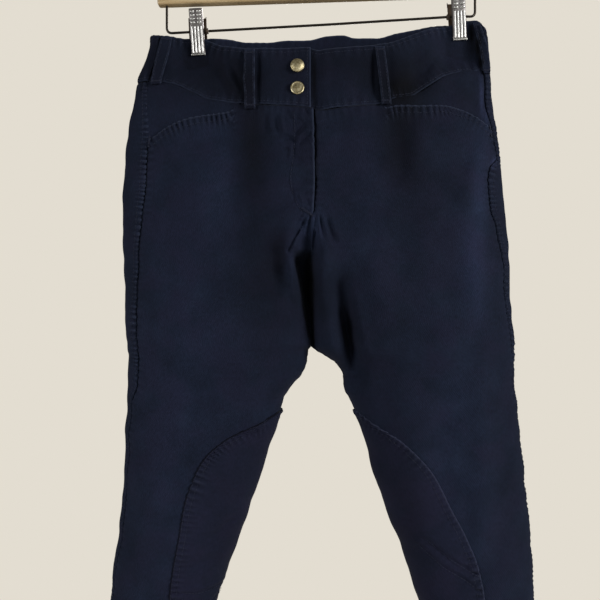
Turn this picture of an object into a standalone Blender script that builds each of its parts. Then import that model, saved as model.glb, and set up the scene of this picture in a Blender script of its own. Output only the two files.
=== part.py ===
"""Riding breeches hanging from the two clips of a wooden hanger.

Right and left are the wearer's: the right leg is at -X. The front faces -Y and +Z is up. The
origin is the inner top of the hanger's hook, where a rail carries it. Sizes are in millimetres
and become metres where a mesh is made.
"""

import math

import bmesh
import bpy
import numpy as np
from mathutils import Matrix, Vector

MM = 0.001

# Cloth walls and the room between pieces
PANEL_WALL = 1.6
BAND_WALL = 2.2
PATCH_WALL = 1.1
LOOP_WALL = 1.5
SEAM_GAP = 0.5
LAYER_GAP = 0.4

# Heights that divide the garment
FLY_END = -315.0
SEAT_FOLD = -375.0
CROTCH = -449.6
HEM = -1130.0

# One row for each level, top to bottom. Outer and inner are the outline's x on each leg, the
# depths run from the middle plane to the front and to the back, squareness is how boxy the
# section is (1 is an ellipse), and the seams are how far each side seam lies in from the outline.
SECTION_COLUMNS = (
    "height", "right_outer", "right_inner", "left_inner", "left_outer",
    "front_depth", "back_depth", "squareness", "right_seam", "left_seam",
)
SECTIONS = (
    (-100, -172, -6.3, -5.7, 175, 18, 14, 0.50, 16, 6),
    (-127, -174, -6.8, -6.2, 178, 20, 15, 0.50, 17, 6),
    (-152, -178, -7.3, -6.7, 180, 22, 17, 0.50, 17, 5),
    (-178, -187, -6.3, -5.7, 181, 25, 20, 0.52, 17, 5),
    (-203, -192, -5.3, -4.7, 183, 29, 23, 0.54, 18, 5.5),
    (-228, -196, -4.8, -4.2, 187, 33, 26, 0.56, 18, 6),
    (-253, -199, -4.1, -3.5, 189, 37, 29, 0.58, 18, 7.5),
    (-285, -201, -3.6, -3.0, 193, 41, 32, 0.60, 18, 9),
    (-315, -202, -6.3, -5.7, 195, 44, 35, 0.62, 17, 9),
    (-350, -202, -9.3, -8.7, 198, 46, 38, 0.64, 15, 6),
    (-392, -200, -9.8, -9.2, 200, 47, 41, 0.67, 13, 3),
    (-442, -198, -9.8, -9.2, 203, 48, 43, 0.70, 9, 1),
    (-449.6, -197, -9.9, -9.1, 204, 48, 44, 0.70, 9, 1),
    (-456, -197, -10.2, -2, 204, 48, 44, 0.71, 9, 1),
    (-462, -196, -10.4, 8, 205, 48, 44, 0.72, 9, 0.5),
    (-470, -196, -11, 20, 205, 48, 44, 0.72, 8, 0.5),
    (-482, -196, -16.5, 27, 206, 48, 44, 0.74, 8, 0.3),
    (-493, -196, -25, 29, 207, 48, 44, 0.75, 8, 0.3),
    (-505, -197, -34, 32, 208, 48, 44, 0.76, 6, 0.3),
    (-518, -197, -38, 38, 209, 48, 44, 0.77, 4, 0.3),
    (-543, -199, -47, 48, 211, 47, 44, 0.78, 3, 0.3),
    (-594, -202, -62, 63, 216, 45, 43, 0.80, 2, 0.3),
    (-644, -206, -80, 82, 221, 42, 41, 0.82, 1, 0.3),
    (-694, -213, -98, 100, 225, 39, 39, 0.84, 0.3, 0.3),
    (-730, -217, -110, 111, 226, 38, 38, 0.85, 0.3, 0.3),
    (-790, -221, -122, 124, 229, 36, 37, 0.86, 0.3, 0.3),
    (-860, -225, -128, 131, 232, 33, 36, 0.88, 0.3, 0.3),
    (-940, -229, -132, 136, 235, 32, 36, 0.90, 0.3, 0.3),
    (-1040, -232, -140, 145, 238, 29, 31, 0.92, 0.3, 0.3),
    (-1130, -234, -147, 153, 241, 27, 28, 0.94, 0.3, 0.3),
)

# Edges across the whole width: x and height
BAND_TOP_FRONT = (
    (-174, -129), (-158, -131), (-126, -131), (-115, -133), (-96, -143), (-72, -147),
    (-43, -148), (-8, -147), (2, -149), (20, -147), (54, -145), (71, -142), (91, -135),
    (121, -123), (139, -119), (156, -117), (166, -114), (177, -111),
)
BAND_TOP_BACK = (
    (-174, -129), (-158, -131), (-126, -131), (-110, -129), (-93, -127), (-72, -129),
    (-51, -129), (-34, -127), (-7, -126), (10, -122), (28, -121), (41, -124), (64, -124),
    (87, -119), (121, -115), (139, -116), (156, -115), (166, -113), (177, -111),
)
BAND_SEAM_FRONT = (
    (-187, -179), (-167, -181), (-150, -182), (-128, -191), (-112, -200), (-95, -204),
    (-77, -206), (-37, -208), (-5, -211), (4, -213), (20, -211), (41, -208), (61, -207),
    (74, -202), (95, -198), (104, -192), (117, -184), (134, -173), (152, -168), (182, -167),
)
BAND_SEAM_BACK = (
    (-187, -179), (-140, -180), (-80, -184), (0, -186), (80, -180), (140, -170), (182, -167),
)
POCKET_MOUTH = (
    (-200, -247), (-172, -241), (-154, -230), (-134, -222), (-114, -218), (-96, -216),
    (-86, -213), (-80, -200), (0, -100), (62, -200), (68, -210), (82, -208), (97, -208),
    (126, -207), (142, -210), (159, -216), (173, -225), (179, -231), (200, -236),
)

# The largest folds: face, the two ends of the fold's line (x, height), half width, and how far
# it sinks in (or, below zero, stands out)
FOLD_COLUMNS = ("face", "x0", "height0", "x1", "height1", "half_width", "sink")
FOLDS = (
    ("front", -10, -316, -13, -446, 9, 12),
    ("front", -20, -322, -42, -378, 10, -5),
    ("front", 3, -322, 14, -474, 10, -7),
    ("front", 20, -362, 34, -474, 10, 8),
    ("front", -32, -335, -58, -410, 14, 5),
    ("front", 44, -330, 72, -440, 16, -4),
    ("front", -57, -212, -55, -300, 10, 3),
    ("front", 82, -208, 84, -298, 10, 3),
    ("front", 146, -262, 162, -440, 14, -4),
    ("front", 162, -420, 165, -680, 14, -4),
    ("front", -126, -250, -130, -470, 30, -3),
    ("front", -110, -150, -84, -214, 7, 3),
    ("front", -96, -150, -72, -196, 6, 2.5),
    ("front", 116, -150, 98, -206, 8, 4),
    ("front", 130, -470, 112, -640, 18, 3),
    ("front", -140, -480, -170, -640, 20, -3),
    ("front", -70, -610, -118, -655, 8, 3),
    ("back", -8, -300, -9, -440, 9, 8),
    ("back", -24, -380, -120, -452, 12, 6),
    ("back", 8, -380, 110, -456, 12, 6),
    ("back", -40, -470, -140, -510, 11, 5),
    ("back", 40, -474, 150, -516, 11, 5),
    ("back", -150, -520, -160, -700, 18, 4),
    ("back", 150, -500, 172, -690, 18, 4),
    ("back", -90, -200, -84, -300, 12, 3),
    ("back", 84, -196, 92, -290, 12, 3),
    ("back", -200, -760, -140, -800, 11, 4),
    ("back", 205, -750, 140, -795, 11, 4),
    ("back", -195, -830, -145, -868, 11, 3),
    ("back", 200, -840, 145, -872, 11, 3),
)

# The clips' pinch: x of each clip, and how the pinch fades sideways and downwards
CLIP_X = {"right": -125.0, "left": 147.0}
CLIP_WIRE_HEIGHT = {"right": -122.9, "left": -107.0}
PINCH_HALF_WIDTH = 25.0
PINCH_FULL_ABOVE = {"right": -153.0, "left": -140.0}
PINCH_FADE = 52.0
PINCHED_DEPTH = BAND_WALL + 0.4

# How each panel is divided down its length: start, end, count
PANEL_STRETCHES = (
    (-212, -315, 8), (-315, -440, 9), (-440, -482, 6), (-482, -543, 4), (-543, -730, 5),
    (-730, HEM, 6),
)
TOP_BLEND_END = -315.0
FRONT_COLUMNS = 18
BACK_COLUMNS = 12
CROWDING = 1.45

# Knee patches: height, and the x of the front edge on each leg (the back edge mirrors it)
PATCH_EDGES = (
    (-519, -40, 42), (-530, -64, 58), (-543, -92, 80), (-560, -112, 100), (-580, -123, 116),
    (-610, -133, 131), (-640, -138, 147), (-670, -144, 159), (-700, -148, 165),
    (-760, -155, 172), (-830, -160, 175), (-890, -157, 170), (-930, -146, 158),
    (-948, -139, 146),
)
PATCH_COLUMNS = 14
PATCH_LIFT = 2.1

# Fly, snaps and belt loops
FLY_SHIELD = {"left_x": 9.0, "right_x": -36.0, "top": -216.0, "foot": -308.0}
UNDERLAP_X = -42.0
UNDERLAP_STEP = (9.0, -3.0)
SNAP_X = -20.5
SNAP_HEIGHTS = {"upper": -167.0, "lower": -191.0}
SNAP_RADIUS = 7.4
SNAP_RISE = 4.2
LOOP_HALF_WIDTH = 5.4
LOOP_LIFT = 2.4
LOOP_ROWS = 8

# The hanger, measured before it tips: everything hard is turned by the tilt about the hook
TILT = math.radians(1.86)
BAR_LENGTH = 342.0
BAR_HEIGHT = 30.0
BAR_DEPTH = 13.0
BAR_CENTRE_X = 1.3
BAR_TOP = -60.4
HOOK_WIRE = 3.6
HOOK_RADIUS = 20.0
RAIL_WIRE = 2.5
CLIP_TILT = math.radians(3.4)
FRONT_JAW_WIDTH = 14.0
BACK_JAW_WIDTH = 16.2
JAW_SHEET = 0.8
SPRING_HOLE = 1.7


def clear_scene():
    for thing in list(bpy.data.objects):
        bpy.data.objects.remove(thing, do_unlink=True)


def new_collection(name):
    made = bpy.data.collections.new(name)
    bpy.context.scene.collection.children.link(made)
    return made


def finish(name, colour, roughness, metallic=0.0):
    """A plain Principled material."""
    made = bpy.data.materials.new(name)
    made.use_nodes = True
    shader = made.node_tree.nodes["Principled BSDF"]
    shader.inputs["Base Color"].default_value = (*colour, 1.0)
    shader.inputs["Roughness"].default_value = roughness
    shader.inputs["Metallic"].default_value = metallic
    return made


def curve_through(points):
    """A smooth curve y(x) through points sorted by x, which never overshoots them."""
    xs = np.array([point[0] for point in points], float)
    ys = np.array([point[1] for point in points], float)
    span = np.diff(xs)
    secant = np.diff(ys) / span
    slope = np.empty_like(ys)
    slope[0] = secant[0]
    slope[-1] = secant[-1]
    before = secant[:-1]
    after = secant[1:]
    same_way = before * after > 0
    total = np.where(same_way, before + after, 1.0)
    slope[1:-1] = np.where(same_way, 2 * before * after / total, 0.0)

    def value(x):
        x = np.clip(x, xs[0], xs[-1])
        i = np.clip(np.searchsorted(xs, x, side="right") - 1, 0, len(xs) - 2)
        t = (x - xs[i]) / span[i]
        start = ys[i] * (1 + 2 * t) + span[i] * slope[i] * t
        end = ys[i + 1] * (3 - 2 * t) + span[i] * slope[i + 1] * (t - 1)
        return start * (1 - t) ** 2 + end * t**2

    return value


def section_curve(column):
    place = SECTION_COLUMNS.index(column)
    return curve_through([(row[0], row[place]) for row in reversed(SECTIONS)])


SECTION = {column: section_curve(column) for column in SECTION_COLUMNS[1:]}
band_top_front = curve_through(BAND_TOP_FRONT)
band_top_back = curve_through(BAND_TOP_BACK)
band_seam_front = curve_through(BAND_SEAM_FRONT)
band_seam_back = curve_through(BAND_SEAM_BACK)
pocket_mouth = curve_through(POCKET_MOUTH)
SIGN = {"right": 1.0, "left": -1.0}


def eased(share):
    share = np.clip(share, 0.0, 1.0)
    return share * share * (3 - 2 * share)


def fold_depth(face, x, height):
    """How far the folds push the cloth towards the middle plane."""
    total = np.zeros_like(x)
    for row in FOLDS:
        fold = dict(zip(FOLD_COLUMNS, row))
        if fold["face"] != face:
            continue
        run_x = fold["x1"] - fold["x0"]
        run_height = fold["height1"] - fold["height0"]
        length = math.hypot(run_x, run_height)
        from_x = x - fold["x0"]
        from_height = height - fold["height0"]
        along = (from_x * run_x + from_height * run_height) / length**2
        aside = (from_x * run_height - from_height * run_x) / length
        ends = eased(along / 0.3) * eased((1 - along) / 0.3)
        total += fold["sink"] * ends * np.exp(-((aside / fold["half_width"]) ** 2))
    return total


def pinch(x, height):
    """1 where a clip holds front and back together, 0 away from the clips."""
    total = np.zeros_like(x)
    for side, clip_x in CLIP_X.items():
        sideways = 1.03 / (1 + ((x - clip_x) / PINCH_HALF_WIDTH) ** 4)
        below = PINCH_FULL_ABOVE[side] - height
        total += np.minimum(sideways, 1.0) * (1 - eased(below / PINCH_FADE))
    return np.clip(total, 0.0, 1.0)


def end_angle(height, start):
    """Where the panel ends round the section: a quarter turn over the body, half at a leg."""
    share = np.clip((start - height) / (start - CROTCH), 0.0, 1.0)
    return math.pi / 2 * (1 + share**0.8)


def bare_skin(side, angle, height):
    """The cloth's outer face. Angle 0 is the outline and a rising angle goes round the front."""
    outer = SECTION[side + "_outer"](height)
    inner = SECTION[side + "_inner"](height)
    front = np.sin(angle) > 0
    end = np.where(front, end_angle(height, FLY_END), end_angle(height, SEAT_FOLD))
    x = outer + (inner - outer) * (1 - np.cos(angle)) / (1 - np.cos(end))
    swell = np.abs(np.sin(angle))
    forward = SECTION["front_depth"](height) * swell ** SECTION["squareness"](height)
    forward = forward - fold_depth("front", x, height) * swell
    backward = SECTION["back_depth"](height) * swell ** SECTION["squareness"](height)
    backward = backward - fold_depth("back", x, height) * swell
    held = pinch(x, height)
    rest = np.minimum(PINCHED_DEPTH, np.where(front, forward, backward))
    depth = np.where(front, forward, backward) * (1 - held) + rest * held
    return np.stack([x, np.where(front, -depth, depth), height], axis=-1)


def skin(side, angle, height, lift=0.0):
    """A point of the cloth's outer face, moved out along the face's own direction by the lift."""
    angle, height, lift = np.broadcast_arrays(*map(np.asarray, (angle, height, lift)))
    angle = angle.astype(float)
    height = height.astype(float)
    turn = 0.02
    rise = 1.0
    across = bare_skin(side, angle + turn, height) - bare_skin(side, angle - turn, height)
    up = bare_skin(side, angle, height + rise) - bare_skin(side, angle, height - rise)
    outward = SIGN[side] * np.cross(across, up)
    outward /= np.linalg.norm(outward, axis=-1, keepdims=True)
    return bare_skin(side, angle, height) + outward * lift[..., None]


def angle_at(side, x, height, face="front"):
    """The angle at which the section passes a given x."""
    outer = SECTION[side + "_outer"](height)
    inner = SECTION[side + "_inner"](height)
    end = end_angle(height, FLY_END if face == "front" else SEAT_FOLD)
    share = (x - outer) / (inner - outer) * (1 - np.cos(end))
    angle = np.arccos(np.clip(1 - share, -1.0, 1.0))
    return angle if face == "front" else -angle


def seam_angle(side, height):
    """The side seam's angle: it lies a little way round to the front."""
    outer = SECTION[side + "_outer"](height)
    inwards = SECTION[side + "_seam"](height) * SIGN[side]
    return angle_at(side, outer + inwards, height)


def settle_heights(side, angle_of, edge, guess):
    """The heights at which columns given by angle_of(height) meet the edge height(x)."""
    height = guess
    for _ in range(8):
        height = edge(bare_skin(side, angle_of(height), height)[..., 0])
    return height


def pulled_in(points, gap=SEAM_GAP / 2):
    """The grid with each of its four edges drawn in by the gap."""
    points = points.copy()
    for edge, beside in ((0, 1), (-1, -2)):
        inwards = points[:, beside] - points[:, edge]
        points[:, edge] += gap * inwards / np.linalg.norm(inwards, axis=-1, keepdims=True)
    for edge, beside in ((0, 1), (-1, -2)):
        inwards = points[beside] - points[edge]
        points[edge] += gap * inwards / np.linalg.norm(inwards, axis=-1, keepdims=True)
    return points


def cloth_wall(name, outer, inner, material, collection):
    """A closed wall between two grids of points, the cloth's outer and inner faces."""
    mesh = bmesh.new()
    rows, columns = outer.shape[:2]
    faces = []
    for points in (outer, inner):
        faces.append([[mesh.verts.new(point * MM) for point in row] for row in points])
    for grid in faces:
        for i in range(rows - 1):
            for j in range(columns - 1):
                mesh.faces.new((grid[i][j], grid[i + 1][j], grid[i + 1][j + 1], grid[i][j + 1]))
    outside, inside = faces
    rim = [(0, j) for j in range(columns)]
    rim += [(i, columns - 1) for i in range(1, rows)]
    rim += [(rows - 1, j) for j in range(columns - 2, -1, -1)]
    rim += [(i, 0) for i in range(rows - 2, 0, -1)]
    for (i, j), (k, m) in zip(rim, rim[1:] + rim[:1]):
        mesh.faces.new((outside[i][j], outside[k][m], inside[k][m], inside[i][j]))
    bmesh.ops.recalc_face_normals(mesh, faces=mesh.faces)
    return add_mesh(name, mesh, material, collection)


def add_mesh(name, mesh, material, collection, smooth=True):
    data = bpy.data.meshes.new(name)
    mesh.to_mesh(data)
    mesh.free()
    if smooth:
        data.shade_smooth()
        data.set_sharp_from_angle(angle=math.radians(50))
    data.materials.append(material)
    made = bpy.data.objects.new(name, data)
    collection.objects.link(made)
    return made


def panel_rows():
    heights = [PANEL_STRETCHES[0][0]]
    for start, end, count in PANEL_STRETCHES:
        heights += [start + (end - start) * step / count for step in range(1, count + 1)]
    return np.array(heights, float)


def leg_panel(side, face, material, collection):
    """A leg panel from the waist seam to the hem: side seam to fly or seat seam, then inseam."""
    levels = panel_rows()
    columns = FRONT_COLUMNS if face == "front" else BACK_COLUMNS
    share = 1 - (1 - np.linspace(0, 1, columns + 1)) ** CROWDING
    start = FLY_END if face == "front" else SEAT_FOLD
    way = 1.0 if face == "front" else -1.0

    def angle_of(height):
        seam = seam_angle(side, height)
        return seam + (way * end_angle(height, start) - seam) * share

    def top_edge(x):
        seam = band_seam_front(x) if face == "front" else band_seam_back(x)
        return np.minimum(seam, pocket_mouth(x)) if face == "front" else seam

    top = settle_heights(side, angle_of, top_edge, np.full(columns + 1, levels[0]))
    blend = 1 - eased((levels[0] - levels) / (levels[0] - TOP_BLEND_END))
    height = levels[:, None] + (top - levels[0])[None, :] * blend[:, None]
    angle = angle_of(height)
    outer = pulled_in(skin(side, angle, height))
    inner = pulled_in(skin(side, angle, height, -PANEL_WALL))
    return cloth_wall(f"{face}_leg_{side}", outer, inner, material, collection)


def pocket_facing(side, material, collection):
    """The hip piece behind the pocket mouth, one layer in from the front panel."""
    columns = 8
    tuck = 12.0
    lift = -BAND_WALL - LAYER_GAP
    near_x = {"right": -78.0, "left": 63.0}[side]
    share = np.linspace(0, 1, columns + 1)

    def angle_of(height):
        seam = seam_angle(side, height)
        return seam + (angle_at(side, near_x, height) - seam) * share

    middle = np.full(columns + 1, -205.0)
    top = settle_heights(side, angle_of, band_seam_front, middle)
    mouth = settle_heights(side, angle_of, pocket_mouth, middle)
    foot = np.minimum(mouth, top) - tuck
    height = top + (foot - top) * np.linspace(0, 1, 5)[:, None]
    angle = angle_of(height)
    outer = pulled_in(skin(side, angle, height, lift))
    inner = pulled_in(skin(side, angle, height, lift - 1.2))
    return cloth_wall(f"pocket_facing_{side}", outer, inner, material, collection)


def band_grid(side, angle_of, top_edge, seam_edge, columns):
    """Angles and heights of a waistband stretch."""
    top = settle_heights(side, angle_of, top_edge, np.full(columns, -135.0))
    seam = settle_heights(side, angle_of, seam_edge, np.full(columns, -190.0))
    height = top + (seam - top) * np.linspace(0, 1, 5)[:, None]
    return angle_of(height), height


def waistband_front(side, material, collection):
    """Each front band ends at the fly: the right one laps over the left one's underlap."""
    columns = 17
    edge_x = {"right": -7.0, "left": UNDERLAP_X}[side]
    share = np.linspace(0, 1, columns) ** 0.85

    def angle_of(height):
        seam = seam_angle(side, height)
        if side == "right":
            return seam + (angle_at(side, edge_x, height) - seam) * share
        outer = SECTION["left_outer"](height)
        centre = SECTION["left_inner"](height)
        passed = math.pi / 2 + (centre - edge_x) / (outer - centre)
        return seam + (passed - seam) * share

    angle, height = band_grid(side, angle_of, band_top_front, band_seam_front, columns)
    lift = np.zeros_like(height)
    if side == "left":
        x = bare_skin(side, angle, height)[..., 0]
        near, far = UNDERLAP_STEP
        lift = -(BAND_WALL + 2 * LAYER_GAP) * eased((near - x) / (near - far))
    outer = pulled_in(skin(side, angle, height, lift))
    inner = pulled_in(skin(side, angle, height, lift - BAND_WALL))
    return cloth_wall(f"waistband_front_{side}", outer, inner, material, collection)


def waistband_back(material, collection):
    """One band right round the back, between the side seams."""
    columns = 21
    outer_halves = []
    inner_halves = []
    for side in ("right", "left"):
        share = np.linspace(0, 1, columns)

        def angle_of(height, side=side, share=share):
            seam = seam_angle(side, height)
            return seam + (-math.pi / 2 - seam) * share

        angle, height = band_grid(side, angle_of, band_top_back, band_seam_back, columns)
        outer_halves.append(skin(side, angle, height))
        inner_halves.append(skin(side, angle, height, -BAND_WALL))
    joined = []
    for right, left in (outer_halves, inner_halves):
        left = left[:, ::-1]
        middle = (right[:, -1:] + left[:, :1]) / 2
        joined.append(pulled_in(np.concatenate([right[:, :-1], middle, left[:, 1:]], axis=1)))
    return cloth_wall("waistband_back", *joined, material, collection)


def knee_patch(side, material, collection):
    """The patch over the inner leg, laid on both panels across the inseam."""
    column = {"right": 1, "left": 2}[side]
    edge = curve_through([(row[0], row[column]) for row in reversed(PATCH_EDGES)])
    top = PATCH_EDGES[0][0]
    foot = PATCH_EDGES[-1][0]
    levels = panel_rows()
    between = levels[(levels < top - 3) & (levels > foot + 3)]
    height = np.concatenate([[top], between, [foot]])[:, None]
    front_edge = angle_at(side, edge(height), height)
    back_edge = 2 * math.pi - front_edge
    share = np.linspace(0, 1, PATCH_COLUMNS + 1)
    angle = front_edge + (back_edge - front_edge) * share
    height = np.broadcast_to(height, angle.shape)
    outer = skin(side, angle, height, PATCH_LIFT + PATCH_WALL)
    inner = skin(side, angle, height, PATCH_LIFT)
    return cloth_wall(f"knee_patch_{side}", outer, inner, material, collection)


def fly_shield(material, collection):
    """The strip behind the closed fly, under both fronts."""
    lift = -PANEL_WALL - 2 * LAYER_GAP
    x = np.linspace(FLY_SHIELD["right_x"], FLY_SHIELD["left_x"], 7)[None, :]
    height = np.linspace(FLY_SHIELD["top"], FLY_SHIELD["foot"], 7)[:, None]
    x, height = np.broadcast_arrays(x, height)
    outer_x = SECTION["right_outer"](height)
    inner_x = SECTION["right_inner"](height)
    end = end_angle(height, FLY_END)
    angle = np.arccos(1 - (1 - np.cos(end)) * (x - outer_x) / (inner_x - outer_x))
    outer = skin("right", angle, height, lift)
    inner = skin("right", angle, height, lift - 1.2)
    return cloth_wall("fly_shield", outer, inner, material, collection)


def walked(side, angle, height, distance):
    """The angle after walking the distance round the section, in small steps."""
    steps = 12
    for _ in range(steps):
        here = bare_skin(side, angle, height)
        ahead = bare_skin(side, angle + 0.01, height)
        pace = np.linalg.norm(ahead - here, axis=-1) / 0.01
        angle = angle + distance / steps / pace
    return angle


def belt_loop(name, side, centre_angle, heights, material, collection):
    """A strip tacked at its ends and standing clear of the band between them."""
    down = np.linspace(0, 1, LOOP_ROWS + 1)[:, None]
    height = heights[0] + (heights[1] - heights[0]) * down
    middle = centre_angle(height[:, 0])
    sideways = np.array([-1.0, 0.0, 1.0]) * LOOP_HALF_WIDTH
    angle = np.stack([walked(side, middle, height[:, 0], s) for s in sideways], axis=1)
    height = np.broadcast_to(height, angle.shape)
    stand = LAYER_GAP + LOOP_LIFT * np.sin(math.pi * np.clip(down, 0.02, 0.98)) ** 0.5
    outer = skin(side, angle, height, stand + LOOP_WALL)
    inner = skin(side, angle, height, stand)
    return cloth_wall(name, outer, inner, material, collection)


def belt_loops(material, collection):
    fronts = {"right": ((-69.0, -68.0), (-150.0, -213.0)), "left": ((63.0, 69.0), (-147.0, -208.0))}
    for side, (xs, heights) in fronts.items():

        def on_front(height, side=side, xs=xs, heights=heights):
            share = (height - heights[0]) / (heights[1] - heights[0])
            return angle_at(side, xs[0] + (xs[1] - xs[0]) * share, height)

        belt_loop(f"belt_loop_front_{side}", side, on_front, heights, material, collection)
    for side, heights in {"right": (-133.0, -184.0), "left": (-116.0, -172.0)}.items():

        def on_seam(height, side=side):
            return seam_angle(side, height)

        belt_loop(f"belt_loop_side_{side}", side, on_seam, heights, material, collection)

    def on_back(height):
        return angle_at("right", -12.0, height, "back")

    belt_loop("belt_loop_back", "right", on_back, (-129.0, -190.0), material, collection)


def snap_cap(name, height, dished, material, collection):
    """A turned cap: a rolled rim with a dome, or with a shallow dish in it."""
    radius = SNAP_RADIUS * MM
    rise = SNAP_RISE * MM
    crown = 0.62 if dished else 1.0
    profile = [(0.0, crown), (0.35, crown * 0.97), (0.62, 0.86 if not dished else 0.6)]
    profile += [(0.80, 0.68 if not dished else 0.72), (0.92, 0.46), (1.0, 0.2), (0.97, 0.0)]
    mesh = bmesh.new()
    points = [mesh.verts.new((across * radius, 0.0, up * rise)) for across, up in profile]
    points.append(mesh.verts.new((0.0, 0.0, 0.0)))
    for first, second in zip(points, points[1:]):
        mesh.edges.new((first, second))
    cap = add_mesh(name, mesh, material, collection)
    turned = cap.modifiers.new("Screw", "SCREW")
    turned.steps = 20
    turned.render_steps = 20
    turned.use_merge_vertices = True
    turned.merge_threshold = 0.00001
    turned.use_normal_calculate = True
    x = np.array(SNAP_X)
    level = np.array(height)
    angle = angle_at("right", x, level)
    seat = Vector(skin("right", angle, level, LAYER_GAP) * MM)
    above = Vector(skin("right", angle, level, LAYER_GAP + 5) * MM)
    facing = (above - seat).to_track_quat("Z", "Y")
    cap.matrix_world = Matrix.Translation(seat) @ facing.to_matrix().to_4x4()
    return cap


def tube(name, points, width, material, collection):
    """A wire of round section along the points, in millimetres."""
    curve = bpy.data.curves.new(name, "CURVE")
    curve.dimensions = "3D"
    curve.bevel_depth = width / 2 * MM
    curve.bevel_resolution = 2
    curve.use_fill_caps = True
    line = curve.splines.new("POLY")
    line.points.add(len(points) - 1)
    for spot, point in zip(line.points, points):
        spot.co = (*(value * MM for value in point), 1.0)
    curve.materials.append(material)
    made = bpy.data.objects.new(name, curve)
    collection.objects.link(made)
    return made


def rounded_route(corners, radius, steps=5):
    """The corners of a bent wire, each replaced by an arc of the bend radius."""
    route = [corners[0]]
    for before, corner, after in zip(corners, corners[1:], corners[2:]):
        to_before = (Vector(before) - Vector(corner)).normalized()
        to_after = (Vector(after) - Vector(corner)).normalized()
        start = Vector(corner) + to_before * radius
        end = Vector(corner) + to_after * radius
        for step in range(steps + 1):
            share = step / steps
            first = start.lerp(Vector(corner), share)
            second = Vector(corner).lerp(end, share)
            route.append(tuple(first.lerp(second, share)))
    route.append(corners[-1])
    return route


def hanger(materials, collection):
    """The wood bar, its hook and the wire the clips sit on, tipped about the hook."""
    tipped = Matrix.Rotation(-TILT, 4, "Y")

    mesh = bmesh.new()
    size = (BAR_LENGTH * MM, BAR_DEPTH * MM, BAR_HEIGHT * MM)
    bmesh.ops.create_cube(mesh, size=1.0, matrix=Matrix.Diagonal((*size, 1.0)))
    upright = [edge for edge in mesh.edges if abs((edge.verts[0].co - edge.verts[1].co).y) > 0.001]
    bmesh.ops.bevel(mesh, geom=upright, offset=9 * MM, segments=5, profile=0.5, affect="EDGES")
    bar = add_mesh("hanger_wood_bar", mesh, materials["wood"], collection)
    softened = bar.modifiers.new("Bevel", "BEVEL")
    softened.width = 2.5 * MM
    softened.segments = 2
    middle = (BAR_CENTRE_X * MM, 0.0, (BAR_TOP - BAR_HEIGHT / 2) * MM)
    bar.matrix_world = tipped @ Matrix.Translation(middle)

    centre = -(HOOK_RADIUS - HOOK_WIRE / 2)
    route = [(0.0, 0.0, BAR_TOP + 0.4), (0.0, 0.0, centre - HOOK_RADIUS - 12), (0.5, 0.0, -47.5)]
    for step in range(23):
        turn = math.radians(-68 + step * 12)
        x = HOOK_RADIUS * math.cos(turn)
        route.append((x, 0.0, centre + HOOK_RADIUS * math.sin(turn)))
    hook = tube("hanger_hook", route, HOOK_WIRE, materials["chrome"], collection)
    hook.matrix_world = tipped

    bar_foot = {"right": -95.9, "left": -85.7}
    corners = [
        (-157.6, 0.0, bar_foot["right"]), (-157.6, 0.0, -124.6), (13.7, 0.0, -115.2),
        (150.0, 0.0, -106.6), (165.9, 0.0, -107.2), (165.9, 0.0, bar_foot["left"]),
    ]
    tube("hanger_wire_bar", rounded_route(corners, 6.0), RAIL_WIRE, materials["chrome"], collection)


def side_profile(points, width, collection, name):
    """A prism along X from a profile of (depth, height) points."""
    mesh = bmesh.new()
    half = width / 2 * MM
    base = [mesh.verts.new((-half, depth * MM, height * MM)) for depth, height in points]
    face = mesh.faces.new(base)
    pushed = bmesh.ops.extrude_face_region(mesh, geom=[face])
    moved = [item for item in pushed["geom"] if isinstance(item, bmesh.types.BMVert)]
    bmesh.ops.translate(mesh, verts=moved, vec=(2 * half, 0.0, 0.0))
    bmesh.ops.recalc_face_normals(mesh, faces=mesh.faces)
    data = bpy.data.meshes.new(name)
    mesh.to_mesh(data)
    mesh.free()
    made = bpy.data.objects.new(name, data)
    collection.objects.link(made)
    return made


def as_cutter(thing):
    thing.hide_render = True
    thing.display_type = "WIRE"
    return thing


def cut_with(piece, cutter):
    cut = piece.modifiers.new("Cut", "BOOLEAN")
    cut.operation = "DIFFERENCE"
    cut.object = cutter


def spring_hole(name, cutters):
    mesh = bmesh.new()
    bmesh.ops.create_cone(
        mesh, cap_ends=True, segments=16, radius1=SPRING_HOLE * MM, radius2=SPRING_HOLE * MM,
        depth=30 * MM, matrix=Matrix.Rotation(math.pi / 2, 4, "Y"),
    )
    data = bpy.data.meshes.new(name)
    mesh.to_mesh(data)
    mesh.free()
    made = bpy.data.objects.new(name, data)
    cutters.objects.link(made)
    return as_cutter(made)


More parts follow.
